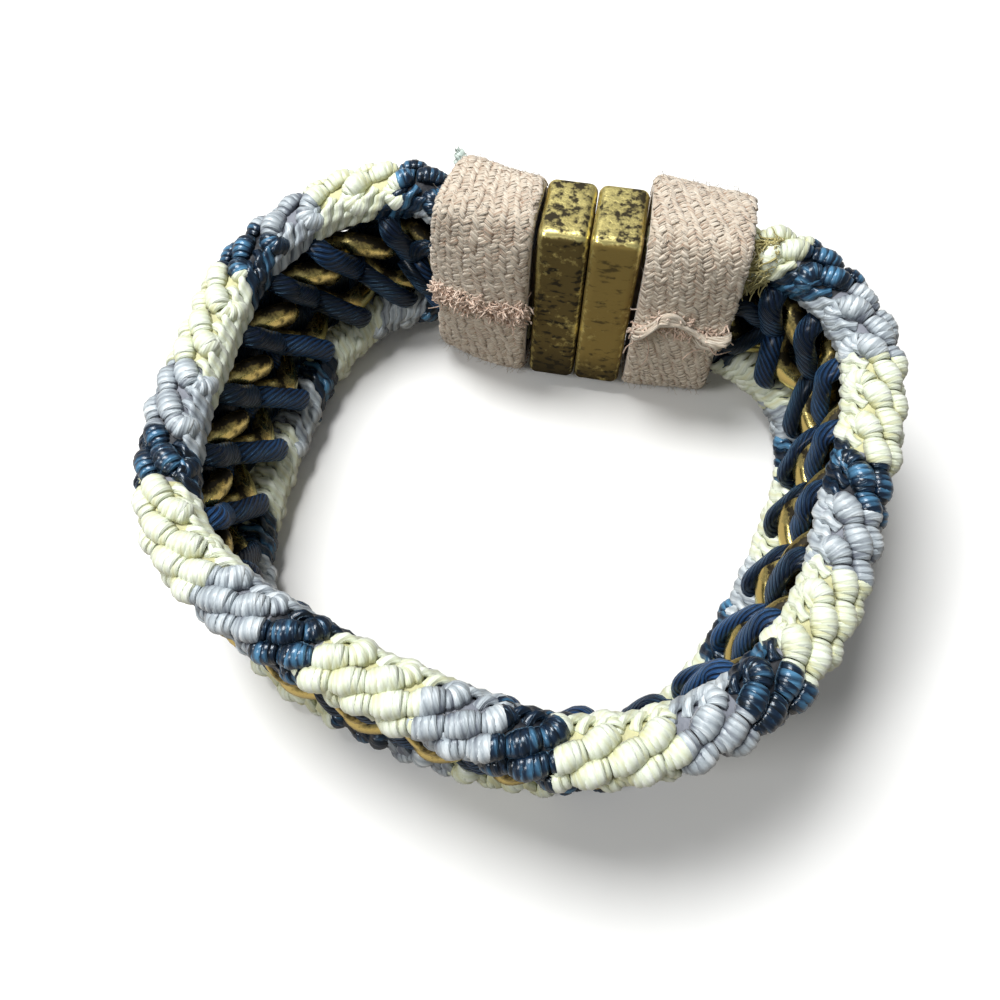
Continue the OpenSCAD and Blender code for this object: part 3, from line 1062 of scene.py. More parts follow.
chain_brass = brass_material(
    "chain_brass", 0.03, colour(36, 30, 14), colour(86, 74, 43), 0.85, Clean=colour(158, 130, 62),
    Bright=colour(250, 230, 150), Spot_Scale=700.0, Spots=0.86, Stain=0.8)
clasp_brass = brass_material(
    "clasp_brass", 0.02, colour(50, 43, 25), colour(160, 138, 76), dull=0.12,
    Clean=colour(180, 162, 92), Bright=colour(255, 240, 160), Spot_Scale=1150.0, Spots=1.03,
    Stain=0.42)
print("brass materials:", [m.name for m in (chain_brass, clasp_brass)])

# %% [markdown]
# A link is a ring of wire, so it is made as a tube whose end meets its start. Its wire is wider
# and flatter on the two rails than at the ends, as the filing of a curb chain leaves it, and the
# rails keep the highest wear.

# %% The mesh of one link
WIRE_SQUARENESS = 0.85
END_HALF_WIDE = 1.0
END_HALF_THICK = 0.86
RAIL_WIDER = 0.24
RAIL_THICKER = 0.04
WIRE_RINGS = 48
WIRE_SIDES = 14
WIRE_REACH = 0.2


def closed_quads(rings, sides):
    """Quads of a tube that is closed both round itself and from its last ring to its first."""
    a = np.arange(rings * sides).reshape(rings, sides)
    b = np.roll(a, -1, 1)
    return np.stack([a, b, np.roll(b, -1, 0), np.roll(a, -1, 0)], -1).reshape(-1, 4)


def link_mesh():
    """One link with x along the chain, y inwards and z up, from rings round its wire."""
    def middle(turn):
        e = LINK_L / 2 * squared(np.cos(turn), LINK_SQUARENESS)
        y = LINK_H / 2 * squared(np.sin(turn), LINK_SQUARENESS)
        twist = LINK_TWIST * 2 * e / LINK_L
        return np.stack([e, -y * np.sin(twist), y * np.cos(twist)], -1)

    turn = 2 * np.pi * np.arange(WIRE_RINGS) / WIRE_RINGS
    centre = middle(turn)
    along = unit(middle(turn + WIRE_REACH) - middle(turn - WIRE_REACH))
    across = unit(centre - (centre * along).sum(-1, keepdims=True) * along)
    flat = np.cross(along, across)
    rail = np.abs(np.sin(turn))[:, None]
    angle = 2 * np.pi * np.arange(WIRE_SIDES) / WIRE_SIDES
    wide = (END_HALF_WIDE + RAIL_WIDER * rail) * squared(np.cos(angle), WIRE_SQUARENESS)[None]
    thick = (END_HALF_THICK + RAIL_THICKER * rail) * squared(np.sin(angle), WIRE_SQUARENESS)[None]
    points = centre[:, None] + wide[..., None] * across[:, None] + thick[..., None] * flat[:, None]
    mark = np.zeros(points.shape)
    mark[..., 1] = 0.1 + (0.4 + 0.4 * rail) * np.sin(angle)[None] ** 2
    return points.reshape(-1, 3), closed_quads(WIRE_RINGS, WIRE_SIDES), mark.reshape(-1, 3)


print("points of a link:", len(link_mesh()[0]))

# %% [markdown]
# Each of the 24 links is an object of its own, because each stands for one solid. The first one
# gets the mesh, and the others share it at their own places.

# %% Curb links
def make_links():
    points, quads, mark = link_mesh()
    gathered = Gathered()
    gathered.add(points, quads, mark)
    for i in range(LINK_COUNT):
        name = f"link_{i + 1:02d}"
        place = placed_at(LINK_ALONG[i], -LINK_OUT[i], LINK_UP[i], LINK_MIDDLE[i])
        if i == 0:
            mesh = gathered.make("curb_" + name, chain_brass, [name], place).data
        else:
            dress(bpy.data.objects.new("curb_" + name, mesh), chain_brass, [name],
                  2 * len(quads), place)


make_links()

# %% [markdown]
# Navy cord laces the chain to the bands. On each link one stitch comes down from the upper band,
# crosses the link's upper rail and dives into its hole. Another comes up from the lower band,
# crosses the lower rail and dives into the same hole. Both go back to their band round the outer
# side of the rail. A stitch has too many turns for a formula, so its middle line is a short list
# of points on the link, in millimetres along, outwards and up.

# %% Middle lines of the stitches
UPPER_STITCH = np.array([
    [3.0, -1.7, 5.6], [2.75, -2.55, 4.9], [2.35, -2.75, 4.1], [1.8, -2.6, 3.3], [1.2, -2.3, 2.3],
    [0.55, -1.9, 1.3], [0.0, -1.1, 0.45], [-0.35, 0.0, 0.3], [-0.7, 0.8, 0.9], [-1.3, 1.1, 2.2],
    [-2.0, 1.15, 3.4], [-2.6, 1.0, 4.5], [-2.9, 0.8, 5.4]])
LOWER_STITCH = np.array([
    [-3.4, -1.7, -5.7], [-3.15, -2.55, -5.0], [-2.75, -2.75, -4.2], [-2.2, -2.6, -3.3],
    [-1.6, -2.3, -2.3], [-1.0, -1.9, -1.3], [-0.45, -1.1, -0.45], [-0.1, 0.0, -0.3],
    [0.3, 0.8, -0.9], [0.9, 1.1, -2.2], [1.5, 1.15, -3.4], [2.0, 1.0, -4.5], [2.3, 0.8, -5.4]])
STITCH_SHIFT = -0.8
STITCH_SCATTER = 0.16
LACED = np.arange(1, LINK_COUNT - 1)


def stitches(rows):
    """Middle lines of one kind of stitch on all the laced links."""
    placed = np.repeat(rows[None], len(LACED), 0)
    placed = placed + rng.normal(0, STITCH_SCATTER, (len(LACED), 1, 3)) * [1, 0.35, 0.5]
    placed[..., 0] *= np.clip(past_mouth(LINK_U[LACED]) / 7, 0.3, 1)[:, None]
    placed[..., 0] += STITCH_SHIFT
    placed[:, 1:-1] += rng.normal(0, STITCH_SCATTER / 3, (len(LACED), len(rows) - 2, 3))
    return on_link(LACED, placed)


print("links with stitches:", len(LACED))

# %% [markdown]
# Behind the stitches a running cord lies along each rail and winds a little in and out with the
# links. A flatter one is threaded through the links and fills the middle of the chain, so that no
# light comes through between the bands. Both get a lower value for painted light than the
# stitches, so painted shade darkens them where they lie behind. Short cords are drawn through a few
# points and running cords along the wall, so there is one function for each way.

# %% Two ways to lay a cord
CORD_SIDES = 12
RUNNING_SIDES = 10


def add_cord(gathered, points, wide_half, thick_half, rings, start, tone, painted_light=0.7):
    """Adds cords through the given points, widest in the start direction."""
    centre = through(points, rings)
    wide, thick = carried(centre, start)
    gathered.add_tubes(centre, wide * wide_half, thick * thick_half, CORD_SIDES, tone, painted_light)


def add_running_cord(gathered, u, a, v, half, tone, painted_light):
    """Adds a cord that runs along the chain, with its half height and half thickness."""
    _, _, thick, height = wall_frame(u)
    gathered.add_tubes(wall_point(u, a, v), height * half[0], thick * half[1], RUNNING_SIDES, tone,
                       painted_light)


print("sides of a stitch and of a running cord:", CORD_SIDES, RUNNING_SIDES)

# %% [markdown]
# The stitches, the running cords and a short cord at each end of the chain that goes under the
# ribbon make one mesh for each band. All are navy cord with many fine plies, which are a relief
# in the material here, because real plies would take too many triangles.

# %% Lacing cords
LACE_WIDE = 1.12
LACE_THICK = 0.68
LACE_RINGS = 38
MOUTH_RINGS = 24
RUNNING_RINGS = 320
RAIL_V = 4.25
RAIL_CORD = [1.15, 0.6]
FILLER_A = 0.45
FILLER_V = 1.8
FILLER_CORD = [1.85, 0.45]
MOUTH_CORD = [0.95, 0.6]
MOUTH_PATH = np.array([[-2.5, -2.0, 2.2], [-0.5, -2.7, 2.5], [1.5, -3.1, 2.7], [3.2, -2.6, 1.6],
                       [4.6, -1.2, 0.4]])


def make_lacing(side, label, rows):
    gathered = Gathered()
    add_cord(gathered, stitches(rows), LACE_WIDE, LACE_THICK, LACE_RINGS, LINK_ALONG[LACED],
             rng.random(len(LACED)))
    u = np.linspace(MOUTH_LEFT - 2, MOUTH_RIGHT + 2, RUNNING_RINGS)[None]
    behind = np.cos((u - CHAIN_START) / LINK_PITCH * 2 * math.pi)
    # Painted shade: the running cord, the filling cord and the mouth cords get lower values for painted
    # light than the stitches.
    add_running_cord(gathered, u, 0.95 - 0.6 * behind, side * (RAIL_V - 0.1 * behind), RAIL_CORD,
                     0.3, 0.4)
    add_running_cord(gathered, u, FILLER_A + 0 * u, side * FILLER_V + 0 * u, FILLER_CORD, 0.2, 0.3)
    for inner, mouth in ((1, MOUTH_LEFT), (-1, MOUTH_RIGHT)):
        points = wall_point(mouth + inner * MOUTH_PATH[:, 0], MOUTH_PATH[:, 1],
                            side * MOUTH_PATH[:, 2])
        add_cord(gathered, points[None], *MOUTH_CORD, MOUTH_RINGS, wall_frame(np.array([mouth]))[3],
                 0.35, 0.5)
    gathered.make(f"{label}_stitches", lacing_cord, [f"{label}_lacing"])


lacing_cord = cord_material(
    "lacing_cord", colour(2, 3, 8), colour(9, 18, 42), colour(52, 98, 156), 9.0, 0.2,
    variation=0.7, plies=10.0, filaments=3.0, Roughness=0.4, Specular_Tint=colour(150, 205, 245),
    Sheen_Weight=0.2, Sheen_Roughness=0.3, Sheen_Tint=colour(110, 170, 225), Coat_Weight=0.3,
    Coat_Roughness=0.25)
make_lacing(UPPER, "upper", UPPER_STITCH)
make_lacing(LOWER, "lower", LOWER_STITCH)

# %% [markdown]
# Each half of the clasp is a plain brass bar with rounded edges. A cube with a bevel would do, but
# its material needs to know where the edges are. So a cube's grid of points is drawn in to a
# smaller box and pushed out again by the radius, which rounds every edge and corner alike, and the
# same grid keeps how near each point is to an edge.

# %% A box with rounded edges
EDGE_BAND = 0.7
EDGE_STEPS = 6
FACE_STEPS = 9


def bevel_marks(half, radius):
    """Places along one side of a box, close together where the rounded edges lie."""
    arc = half - radius + radius * np.tan(np.linspace(0, np.pi / 4, EDGE_STEPS))
    flat = np.linspace(0, half - radius, FACE_STEPS)[:-1]
    side = np.concatenate([flat, arc])
    return np.concatenate([-side[:0:-1], side])


def rounded_box(size, radius):
    """Points and quads of a box with rounded edges, and how near each point is to an edge."""
    half = np.array(size) / 2
    marks = [bevel_marks(h, radius) for h in half]
    points, quads, count = [], [], 0
    for axis in range(3):
        p, q = (axis + 1) % 3, (axis + 2) % 3
        grid_p, grid_q = np.meshgrid(marks[p], marks[q], indexing="ij")
        for side in (-1, 1):
            face = np.empty(grid_p.shape + (3,))
            face[..., p], face[..., q], face[..., axis] = grid_p, grid_q, side * half[axis]
            index = count + np.arange(grid_p.size).reshape(grid_p.shape)
            a, b, c, d = index[:-1, :-1], index[1:, :-1], index[1:, 1:], index[:-1, 1:]
            quad = np.stack([a, b, c, d] if side > 0 else [a, d, c, b], -1).reshape(-1, 4)
            points.append(face.reshape(-1, 3))
            quads.append(quad)
            count += grid_p.size
    points = np.concatenate(points)
    kept, back = np.unique(np.round(points, 6), axis=0, return_inverse=True)
    quads = back.reshape(-1)[np.concatenate(quads)]
    inner = np.clip(kept, -(half - radius), half - radius)
    rounded = inner + radius * unit(kept - inner)
    near = np.sort(np.clip(1 - (half - np.abs(kept)) / EDGE_BAND, 0, 1), axis=1)[:, 1]
    return rounded, quads, near


print("marks along half a clasp's height:", len(bevel_marks(10, 0.85)) // 2 + 1)

# %% [markdown]
# The two halves meet in a narrow seam and lean with the wall. Their upper ends get the brightest
# metal, their edges get more of it the higher they lie, and their faces are pale, scratched and
# darker towards the foot. The right face is painted paler than the left, as a painted reflection.
# All of that is kept as two values on each point, for the material. Very shallow dents keep the
# large faces from looking machined.

# %% Clasp halves
CLASP_H = 20.0
CLASP_T = 8.0
CLASP_EDGE = 0.85
DENT_DEPTH = 0.03
LEFT, RIGHT = -1, 1
# Paleness of each face's tarnish; the right face's higher value is a painted reflection.
FACE_PALENESS_AND_REFLECTION = {LEFT: 0.42, RIGHT: 1.1}
TOP_BAND = 0.6
TOP_FADE = 0.5
TOP_WEAR = 0.51
HIGH_BAND = 3
HIGH_FADE = 2.5
FOOT_FADE = 6
ALONG_X = np.array([1, 0, 0])


def make_clasp(side, label):
    points, quads, near = rounded_box([CLASP_HALF_L - CLEARANCE, CLASP_T, CLASP_H], CLASP_EDGE)
    dents = np.sin(points[:, [1]] * 1.7 + side) * np.sin(points[:, [2]] * 0.9) * DENT_DEPTH
    points = points + dents * unit(points * [0.1, 1, 0.1])
    middle, _, thick, height = wall_frame(np.array(0.0))
    centre = middle + side * CLASP_HALF_L / 2 * ALONG_X
    placed = (centre + points[:, [0]] * ALONG_X + points[:, [1]] * -thick + points[:, [2]] * height)
    below_top = points[:, 2] - CLASP_H / 2
    top = smooth((below_top + TOP_BAND) / TOP_FADE)
    high = smooth((below_top + HIGH_BAND) / HIGH_FADE)
    wear = np.maximum(near * (0.55 + 0.45 * high), TOP_WEAR * top)
    foot = smooth((points[:, 2] + CLASP_H / 2) / FOOT_FADE)
    # The right face's higher paleness is a painted reflection; the paleness fades towards the foot.
    pale = FACE_PALENESS_AND_REFLECTION[side] * (1 - top) * (0.1 + 0.9 * foot)
    gathered = Gathered()
    gathered.add(placed, quads, np.stack([pale, wear, 0 * near], -1))
    gathered.make(f"{label}_bar", clasp_brass, [label])


make_clasp(LEFT, "clasp_left")
make_clasp(RIGHT, "clasp_right")

# %% [markdown]
# A blush-pink ribbon is wound round each glued end. On the inner side its cut end overlaps the
# first turn, so the cloth stands a little higher above that seam than below it, and the seam
# wanders along the wrap. Real sheets of cloth would be hard to keep apart, so the overlap is a
# soft step in one surface.

# %% Ribbon wraps: the overlap at the seam
FLAP_RISE = 0.5
FLAP_EDGE = 0.5
FLAP_FADE = 3.0
CORNER_RISE = 0.7
SEAM_S = np.array([0, 0.1, 0.25, 0.45, 0.6, 0.75, 0.9, 1.0])
SEAM_V = {LEFT: np.array([0.3, 0.1, 0.0, 0.2, -0.1, -0.2, 0.1, -0.5]),
          RIGHT: np.array([0.0, 0.7, 2.2, 2.1, 1.4, 0.6, 0.7, 0.9])}


def fold(s, turn, v, side):
    """How far the upper turn of ribbon stands proud, most at its cut end on the inner side."""
    inner = smooth(-np.cos(turn) * 2.5)
    above = v - np.interp(s, SEAM_S, SEAM_V[side])
    flap = FLAP_RISE * smooth(above / FLAP_EDGE + 0.5) * np.exp(-np.maximum(above, 0) / FLAP_FADE)
    corner = (CORNER_RISE * np.exp(-((s - 0.95) / 0.2) ** 2 - ((above + 0.6) / 1.5) ** 2)
              * (side == RIGHT))
    return inner * (flap + corner)


print("highest place of the right seam in mm:", SEAM_V[RIGHT].max())

# %% [markdown]
# The ribbon's surface is the solid's rounded oblong with soft bulges. At the mouth the ribbon
# stops a little short low down on the inner side, and the right wrap's upper outer corner is
# fuller. Everything on the ribbon asks this one surface for its place and direction.

# %% Ribbon wraps: the surface
WRAP_SQUARENESS = 0.5
WRAP_START = CLASP_HALF_L + 0.3
WRAP_L = {LEFT: MOUTH_LEFT - WRAP_START, RIGHT: PATH_L - WRAP_START - MOUTH_RIGHT}
MOUTH_TRIM = {LEFT: 0.1, RIGHT: 0.08}
MOUTH_BACK = {LEFT: 0.06, RIGHT: 0.0}
LONG_WAVE = 0.12
SHORT_WAVE = 0.07
FULL_TURN = 0.95
FULL_RISE = 1.5
FULL_WIDTH = 0.8
AROUND_REACH = 0.04
S_REACH = 0.02


def wrap_point(s, turn, sink, side):
    """A point of a wrap, with s from 0 at the clasp to 1 at the mouth."""
    s, turn = np.broadcast_arrays(np.asarray(s, float), turn)
    a = squared(np.cos(turn), WRAP_SQUARENESS)
    v = squared(np.sin(turn), WRAP_SQUARENESS)
    trim = MOUTH_BACK[side] + MOUTH_TRIM[side] * smooth(-a) * smooth((0.3 - v) / 0.5)
    u = WRAP_START + s * WRAP_L[side] * (1 - trim)
    wave = (LONG_WAVE * np.sin(2 * turn + 1.1 * side + 3 * s)
            + SHORT_WAVE * np.sin(5 * turn - 4 * s))
    if side == RIGHT:
        past_corner = np.mod(turn - FULL_TURN + np.pi, 2 * np.pi) - np.pi
        wave = wave + (FULL_RISE - 1.1 * s) * np.exp(-(past_corner / FULL_WIDTH) ** 2)
    ends = 0.5 * (1 - np.sqrt(np.clip(1 - (2 * np.abs(s - 0.5)) ** 8, 0, 1)))
    out = wave + fold(s, turn, v * WRAP_H / 2, side) - sink - ends
    return wall_point(u if side == LEFT else PATH_L - u, a * (WRAP_T / 2 + out), v * (WRAP_H / 2 + out))


def wrap_normal(s, turn, side):
    across = (wrap_point(s, turn + AROUND_REACH, 0, side)
              - wrap_point(s, turn - AROUND_REACH, 0, side))
    along = wrap_point(s + S_REACH, turn, 0, side) - wrap_point(s - S_REACH, turn, 0, side)
    return unit(np.cross(along, across)) * side


print("lengths of the left and right wraps in mm:", [round(WRAP_L[side], 1) for side in (LEFT, RIGHT)])

# %% [markdown]
# The body under the weave is a closed sleeve that stands in for the solid. It goes out along the
# wrap on the outer surface and comes back inside, so it is a tube whose end meets its start, as
# the link is. The ribbon's cotton is matt with a soft sheen.

# %% Ribbon wraps: the sleeve
SLEEVE_RINGS = 24
SLEEVE_SIDES = 80
SLEEVE_SINK = 0.18
# The sleeve's value for painted light is a little below that of the yarns, as painted shade between
# them.
SLEEVE_MARK = [0.5, 0.48, 0]
COTTON = {"Roughness": 0.85, "Sheen_Weight": 0.4, "Sheen_Roughness": 0.6}


def make_sleeve(side, label):
    s = np.linspace(0, 1, SLEEVE_RINGS)[:, None]
    turn = 2 * np.pi * (np.arange(SLEEVE_SIDES) + 0.5) / SLEEVE_SIDES
    outer = wrap_point(s, turn, SLEEVE_SINK, side)
    inner = wrap_point(s[::-1], turn, WRAP_WALL - CLEARANCE, side)
    quads = closed_quads(2 * SLEEVE_RINGS, SLEEVE_SIDES)
    if side == RIGHT:
        quads = quads[:, [0, 3, 2, 1]]
    gathered = Gathered()
    gathered.add(np.concatenate([outer, inner]).reshape(-1, 3), quads, SLEEVE_MARK)
    gathered.make(f"{label}_sleeve", pink_ribbon, [label])


pink_ribbon = cord_material(
    "pink_ribbon", colour(158, 128, 104), colour(206, 192, 172), colour(230, 220, 203), 2.2, 0.04,
    **COTTON)
make_sleeve(LEFT, "end_wrap_left")
make_sleeve(RIGHT, "end_wrap_right")

# %% [markdown]
# The ribbon is a loose herringbone weave. Its yarns show as short floats that slant one way in one
# column and the other way in the next, and the columns run round the wrap. A relief in the
# material would stay flat at the wrap's outline, so every yarn is modelled. First come the places
# of their middles on the cloth laid flat, in millimetres. Soft waves and a seeded scatter bend
# the columns there, as in worn cloth.

# %% Ribbon wraps: places of the yarns
WEAVE_COLUMN = 0.64
WEAVE_MARGIN = 0.1
COLUMN_SLANT = 0.22
COLUMN_WAVE = 0.4
COLUMN_RIPPLE = 0.12
COLUMN_SCATTER = 0.08
YARN_PITCH = 0.34
YARN_SCATTER = 0.07
YARN_SLANT = math.radians(42)
SLANT_SCATTER = 0.2
TURN_SAMPLES = 1441


def even_turns(side, pitch):
    """Turns that lie evenly spaced round the middle of a wrap, at the given pitch."""
    turn = np.linspace(0, 2 * np.pi, TURN_SAMPLES)
    run = run_along(wrap_point(0.5, turn, 0, side))
    return run, turn, np.arange(0, run[-1] - pitch / 2, run[-1] / round(run[-1] / pitch))


def yarn_places(side, girth, places):
    """Place along and round the wrap of each yarn's middle, and its slant."""
    spread = COLUMN_SLANT * girth / 2
    columns = np.arange(-spread, WRAP_L[side] + spread, WEAVE_COLUMN)
    column, place = (x.ravel() for x in np.meshgrid(columns, places, indexing="ij"))
    number = np.repeat(np.arange(len(columns)), len(places))
    column = column + side * COLUMN_SLANT * (place - girth / 2)
    slant = (np.where(number % 2 == 0, 1, -1) * math.tan(YARN_SLANT)
             + rng.normal(0, SLANT_SCATTER, len(place)))
    place = place + rng.normal(0, YARN_SCATTER, len(place)) + number % 2 * YARN_PITCH / 2
    column = (column + COLUMN_WAVE * np.sin(place * 0.35 + side)
              + COLUMN_RIPPLE * np.sin(place * 1.3 + 2 * number)
              + rng.normal(0, COLUMN_SCATTER, len(place)))
    kept = (column > WEAVE_MARGIN) & (column < WRAP_L[side] - WEAVE_MARGIN)
    return column[kept], place[kept], slant[kept]


print("yarns round a column of the left and right wraps:",
      [len(even_turns(side, YARN_PITCH)[2]) for side in (LEFT, RIGHT)])

# %% [markdown]
# Each yarn is then a small bent tube across its column. It lies highest in its middle, and its
# ends dive into the sleeve and under the yarns of the next column, so the cloth looks woven
# although no yarn really passes under another. Its value for painted light follows the same arch,
# so painted shade darkens its diving ends.

# %% Ribbon wraps: the weave
YARN_WIDE = 0.21
YARN_THICK = 0.1
YARN_RINGS = 5
YARN_SIDES = 5
YARN_SPAN = 0.62
YARN_SINK = 0.2
YARN_RISE = 0.09
SINK_SCATTER = 0.02
SIZE_SCATTER = 0.16


def make_weave(side, label):
    run, turns, places = even_turns(side, YARN_PITCH)
    column, place, slant = yarn_places(side, run[-1], places)
    count = len(column)
    t = np.linspace(-1, 1, YARN_RINGS)
    s = np.clip((column[:, None] + t * WEAVE_COLUMN * YARN_SPAN) / WRAP_L[side], 0.005, 0.995)
    around = place[:, None] + slant[:, None] * t * WEAVE_COLUMN / 2
    turn = np.interp(np.mod(around, run[-1]), run, turns)
    lift = 1 - t ** 2
    sink = YARN_SINK - YARN_RISE * lift + rng.normal(0, SINK_SCATTER, (count, 1))
    centre = wrap_point(s, turn, sink, side)
    normal = wrap_normal(s, turn, side)
    wide = unit(np.cross(normal, np.gradient(centre, axis=1)))
    size = 1 + rng.normal(0, SIZE_SCATTER, (count, 1, 1))
    gathered = Gathered()
    # Painted light: lightest where the yarn is highest, painted shade at its ends.
    gathered.add_tubes(centre, wide * YARN_WIDE * size, normal * YARN_THICK * size, YARN_SIDES,
                       rng.random(count), 0.5 + 0.42 * lift ** 0.7 * np.ones((count, 1)))
    gathered.make(f"{label}_weave", pink_ribbon)


make_weave(LEFT, "end_wrap_left")
make_weave(RIGHT, "end_wrap_right")

# %% [markdown]
# Stray fibres stand off the cloth here and there, and frayed yarn ends at the seam. A particle
# system could grow them, but its hairs come out with the export only after a conversion. So each
# one is a thin tube that wanders from its root, bends a little at every step and gets thinner.

# %% Ribbon wraps: loose fibres
FUZZ_COUNT = 900
FUZZ_SHORTEST = 0.5
FUZZ_LONGER_BY = 0.8
FUZZ_CURL = 0.45
FUZZ_RADIUS = 0.024
FUZZ_RINGS = 5
FUZZ_SIDES = 3
FUZZ_ROOT = 0.1
STRAY_STEPS = 4
STRAY_TIP = 0.6
# Loose fibres get one high value for painted light: a painted highlight along them.
STRAY_PAINTED_LIGHT = 0.8


def strays(root, heading, length, curl, rings):
    """Middle lines of loose fibres from their roots, each wandering from its heading."""
    step = (length / STRAY_STEPS)[:, None]
    points, way = [root], heading
    for _ in range(STRAY_STEPS):
        way = unit(way + rng.normal(0, 1, root.shape) * np.asarray(curl))
        points.append(points[-1] + way * step)
    return through(np.stack(points, 1), rings)


def add_strays(gathered, root, heading, length, curl, radius, rings, sides):
    centre = strays(root, heading, length, curl, rings)
    wide, thick = carried(centre, unit(np.cross(heading, [0.31, 0.22, 0.93])))
    taper = np.linspace(1, STRAY_TIP, rings)[None, :, None] * np.asarray(radius).reshape(-1, 1, 1)
    gathered.add_tubes(centre, wide * taper, thick * taper, sides, rng.random(len(root)),
                       STRAY_PAINTED_LIGHT)


def make_fuzz(side, label):
    s, turn = rng.random(FUZZ_COUNT), rng.random(FUZZ_COUNT) * 2 * np.pi
    root = wrap_point(s, turn, FUZZ_ROOT, side)
    normal = wrap_normal(s, turn, side)
    heading = unit(normal * 0.2 + rng.normal(0, 0.6, root.shape))
    length = FUZZ_SHORTEST + FUZZ_LONGER_BY * rng.random(FUZZ_COUNT)
    gathered = Gathered()
    add_strays(gathered, root, heading, length, FUZZ_CURL, FUZZ_RADIUS, FUZZ_RINGS, FUZZ_SIDES)
    gathered.make(f"{label}_fuzz", pink_ribbon)


make_fuzz(LEFT, "end_wrap_left")
make_fuzz(RIGHT, "end_wrap_right")

# %% [markdown]
# The ribbon's cut end is frayed. On the right wrap its edge curls up along the seam: a large roll
# of warp yarns and two smaller ones that swing up and down beside it. Every yarn is a tube that
# goes slowly round its roll, so the roll looks twisted without a twisting modifier.

# %% Ribbon wraps: the curled edge
def on_seam(s, above, out, side):
    """A point at the seam: above it along the cloth, and out from the cloth."""
    v = np.interp(s, SEAM_S, SEAM_V[side]) + above
    turn = math.pi - np.arcsin(np.sign(v) * np.abs(2 * v / WRAP_H) ** (1 / WRAP_SQUARENESS))
    return wrap_point(s, turn, -out, side), wrap_normal(s, turn, side)


# Each row is one roll: yarns, radius, first and last s, swing up and down, and drop.
LIP_ROLLS = [[11, 0.42, -0.01, 1.03, 0.0, 0.0], [6, 0.26, 0.12, 0.98, 0.75, 0.35],
             [5, 0.22, -0.02, 0.5, -0.6, -0.3]]
LIP_RINGS = 60
LIP_OUT = 0.15
LIP_YARN = [0.19, 0.16]
LIP_SIDES = 6
# The curled lip gets a high value for painted light: a painted highlight along its yarns.
LIP_PAINTED_LIGHT = 0.9


def make_lip(side, label):
    """The curled edge of the ribbon: warp yarns that lie round slowly turning rolls."""
    gathered = Gathered()
    for yarns, lip, first, last, swing, drop in LIP_ROLLS:
        s = np.linspace(first, last, LIP_RINGS)[None]
        above = LIP_OUT - drop + swing * np.sin(2 * math.pi * (s - first) / (last - first))
        for k in range(yarns):
            roll = 2 * math.pi * (k / yarns + 0.5 * s) + 0.5 * np.sin(9 * s + k)
            reach = lip * (0.8 + 0.4 * np.sin(7 * s + side))
            centre, normal = on_seam(s, above + reach * np.cos(roll),
                                     LIP_OUT + reach * (1 + np.sin(roll)), side)
            wide = unit(np.cross(normal, np.gradient(centre, axis=1)))
            gathered.add_tubes(centre, wide * LIP_YARN[0], normal * LIP_YARN[1], LIP_SIDES,
                               0.4 + 0.3 * (k % 3), LIP_PAINTED_LIGHT)
    gathered.make(f"{label}_lip", pink_ribbon)


make_lip(RIGHT, "end_wrap_right")

# %% [markdown]
# Out of both seams stand short curly ends of coral-pink yarn, with some long loose ones. They
# grow from the seam as the loose fibres grow from the cloth, and lean outwards and down. The left
# wrap has many more short ends, and the photo shows no curled edge there.

# %% Ribbon wraps: the frayed ends
SEAM_UP_U = 8.0
FRAY_OUT = 0.05
FRAY_SIDES = 4
# Length, curl, radius and rings of each kind of end.
SHORT_END = [1.25, 0.9, 0.12, 6]
LONG_END = [3.8, 0.45, 0.09, 16]


def make_frays(side, label, short_ends, long_ends, spread):
    up = wall_frame(np.array(SEAM_UP_U))[3]
    gathered = Gathered()
    for count, (length, curl, radius, rings) in ((short_ends, SHORT_END), (long_ends, LONG_END)):
        s = 1.02 * rng.random(count) ** 1.2
        root, normal = on_seam(s, rng.normal(-0.1, spread, count), FRAY_OUT, side)
        heading = unit(normal * 0.7 - up * 0.5 + rng.normal(0, 0.7, root.shape))
        add_strays(gathered, root, heading, length * (0.6 + 0.7 * rng.random(count)), curl, radius,
                   rings, FRAY_SIDES)
    gathered.make(f"{label}_frays", coral_yarn)


coral_yarn = cord_material(
    "coral_yarn", colour(198, 160, 136), colour(238, 211, 189), colour(252, 238, 222), 6.0, 0.03,
    **COTTON)
make_frays(LEFT, "end_wrap_left", 1000, 8, 0.6)
make_frays(RIGHT, "end_wrap_right", 340, 14, 0.55)

# %% [markdown]
# Where the left ribbon ends, a few glued and cut cord ends look out from under its outer top. They
# are three short cords side by side along one curved line, and each ends in a tuft of short
# fibres, because a cut cord opens at its end.

# %% Cut cord ends
STUB_U = np.array([13.0, 14.2, 15.0, 15.5])
STUB_A = np.array([3.2, 3.9, 4.3, 4.4])
STUB_V = np.array([5.6, 6.9, 8.0, 8.9])
STUB_SHIFTS = np.array([[0, 0, 0], [0.5, -0.7, 0], [-0.2, 0.3, -1.2]])
STUB_HALF = [0.62, 0.5]
STUB_RINGS = 12
TUFT_COUNT = 14
TUFT_SPREAD = 0.14
TUFT_SHORTEST = 0.15
TUFT_LONGER_BY = 0.2
TUFT_CURL = 0.2
TUFT_RADIUS = 0.12
TUFT_RINGS = 6
TUFT_SIDES = 4


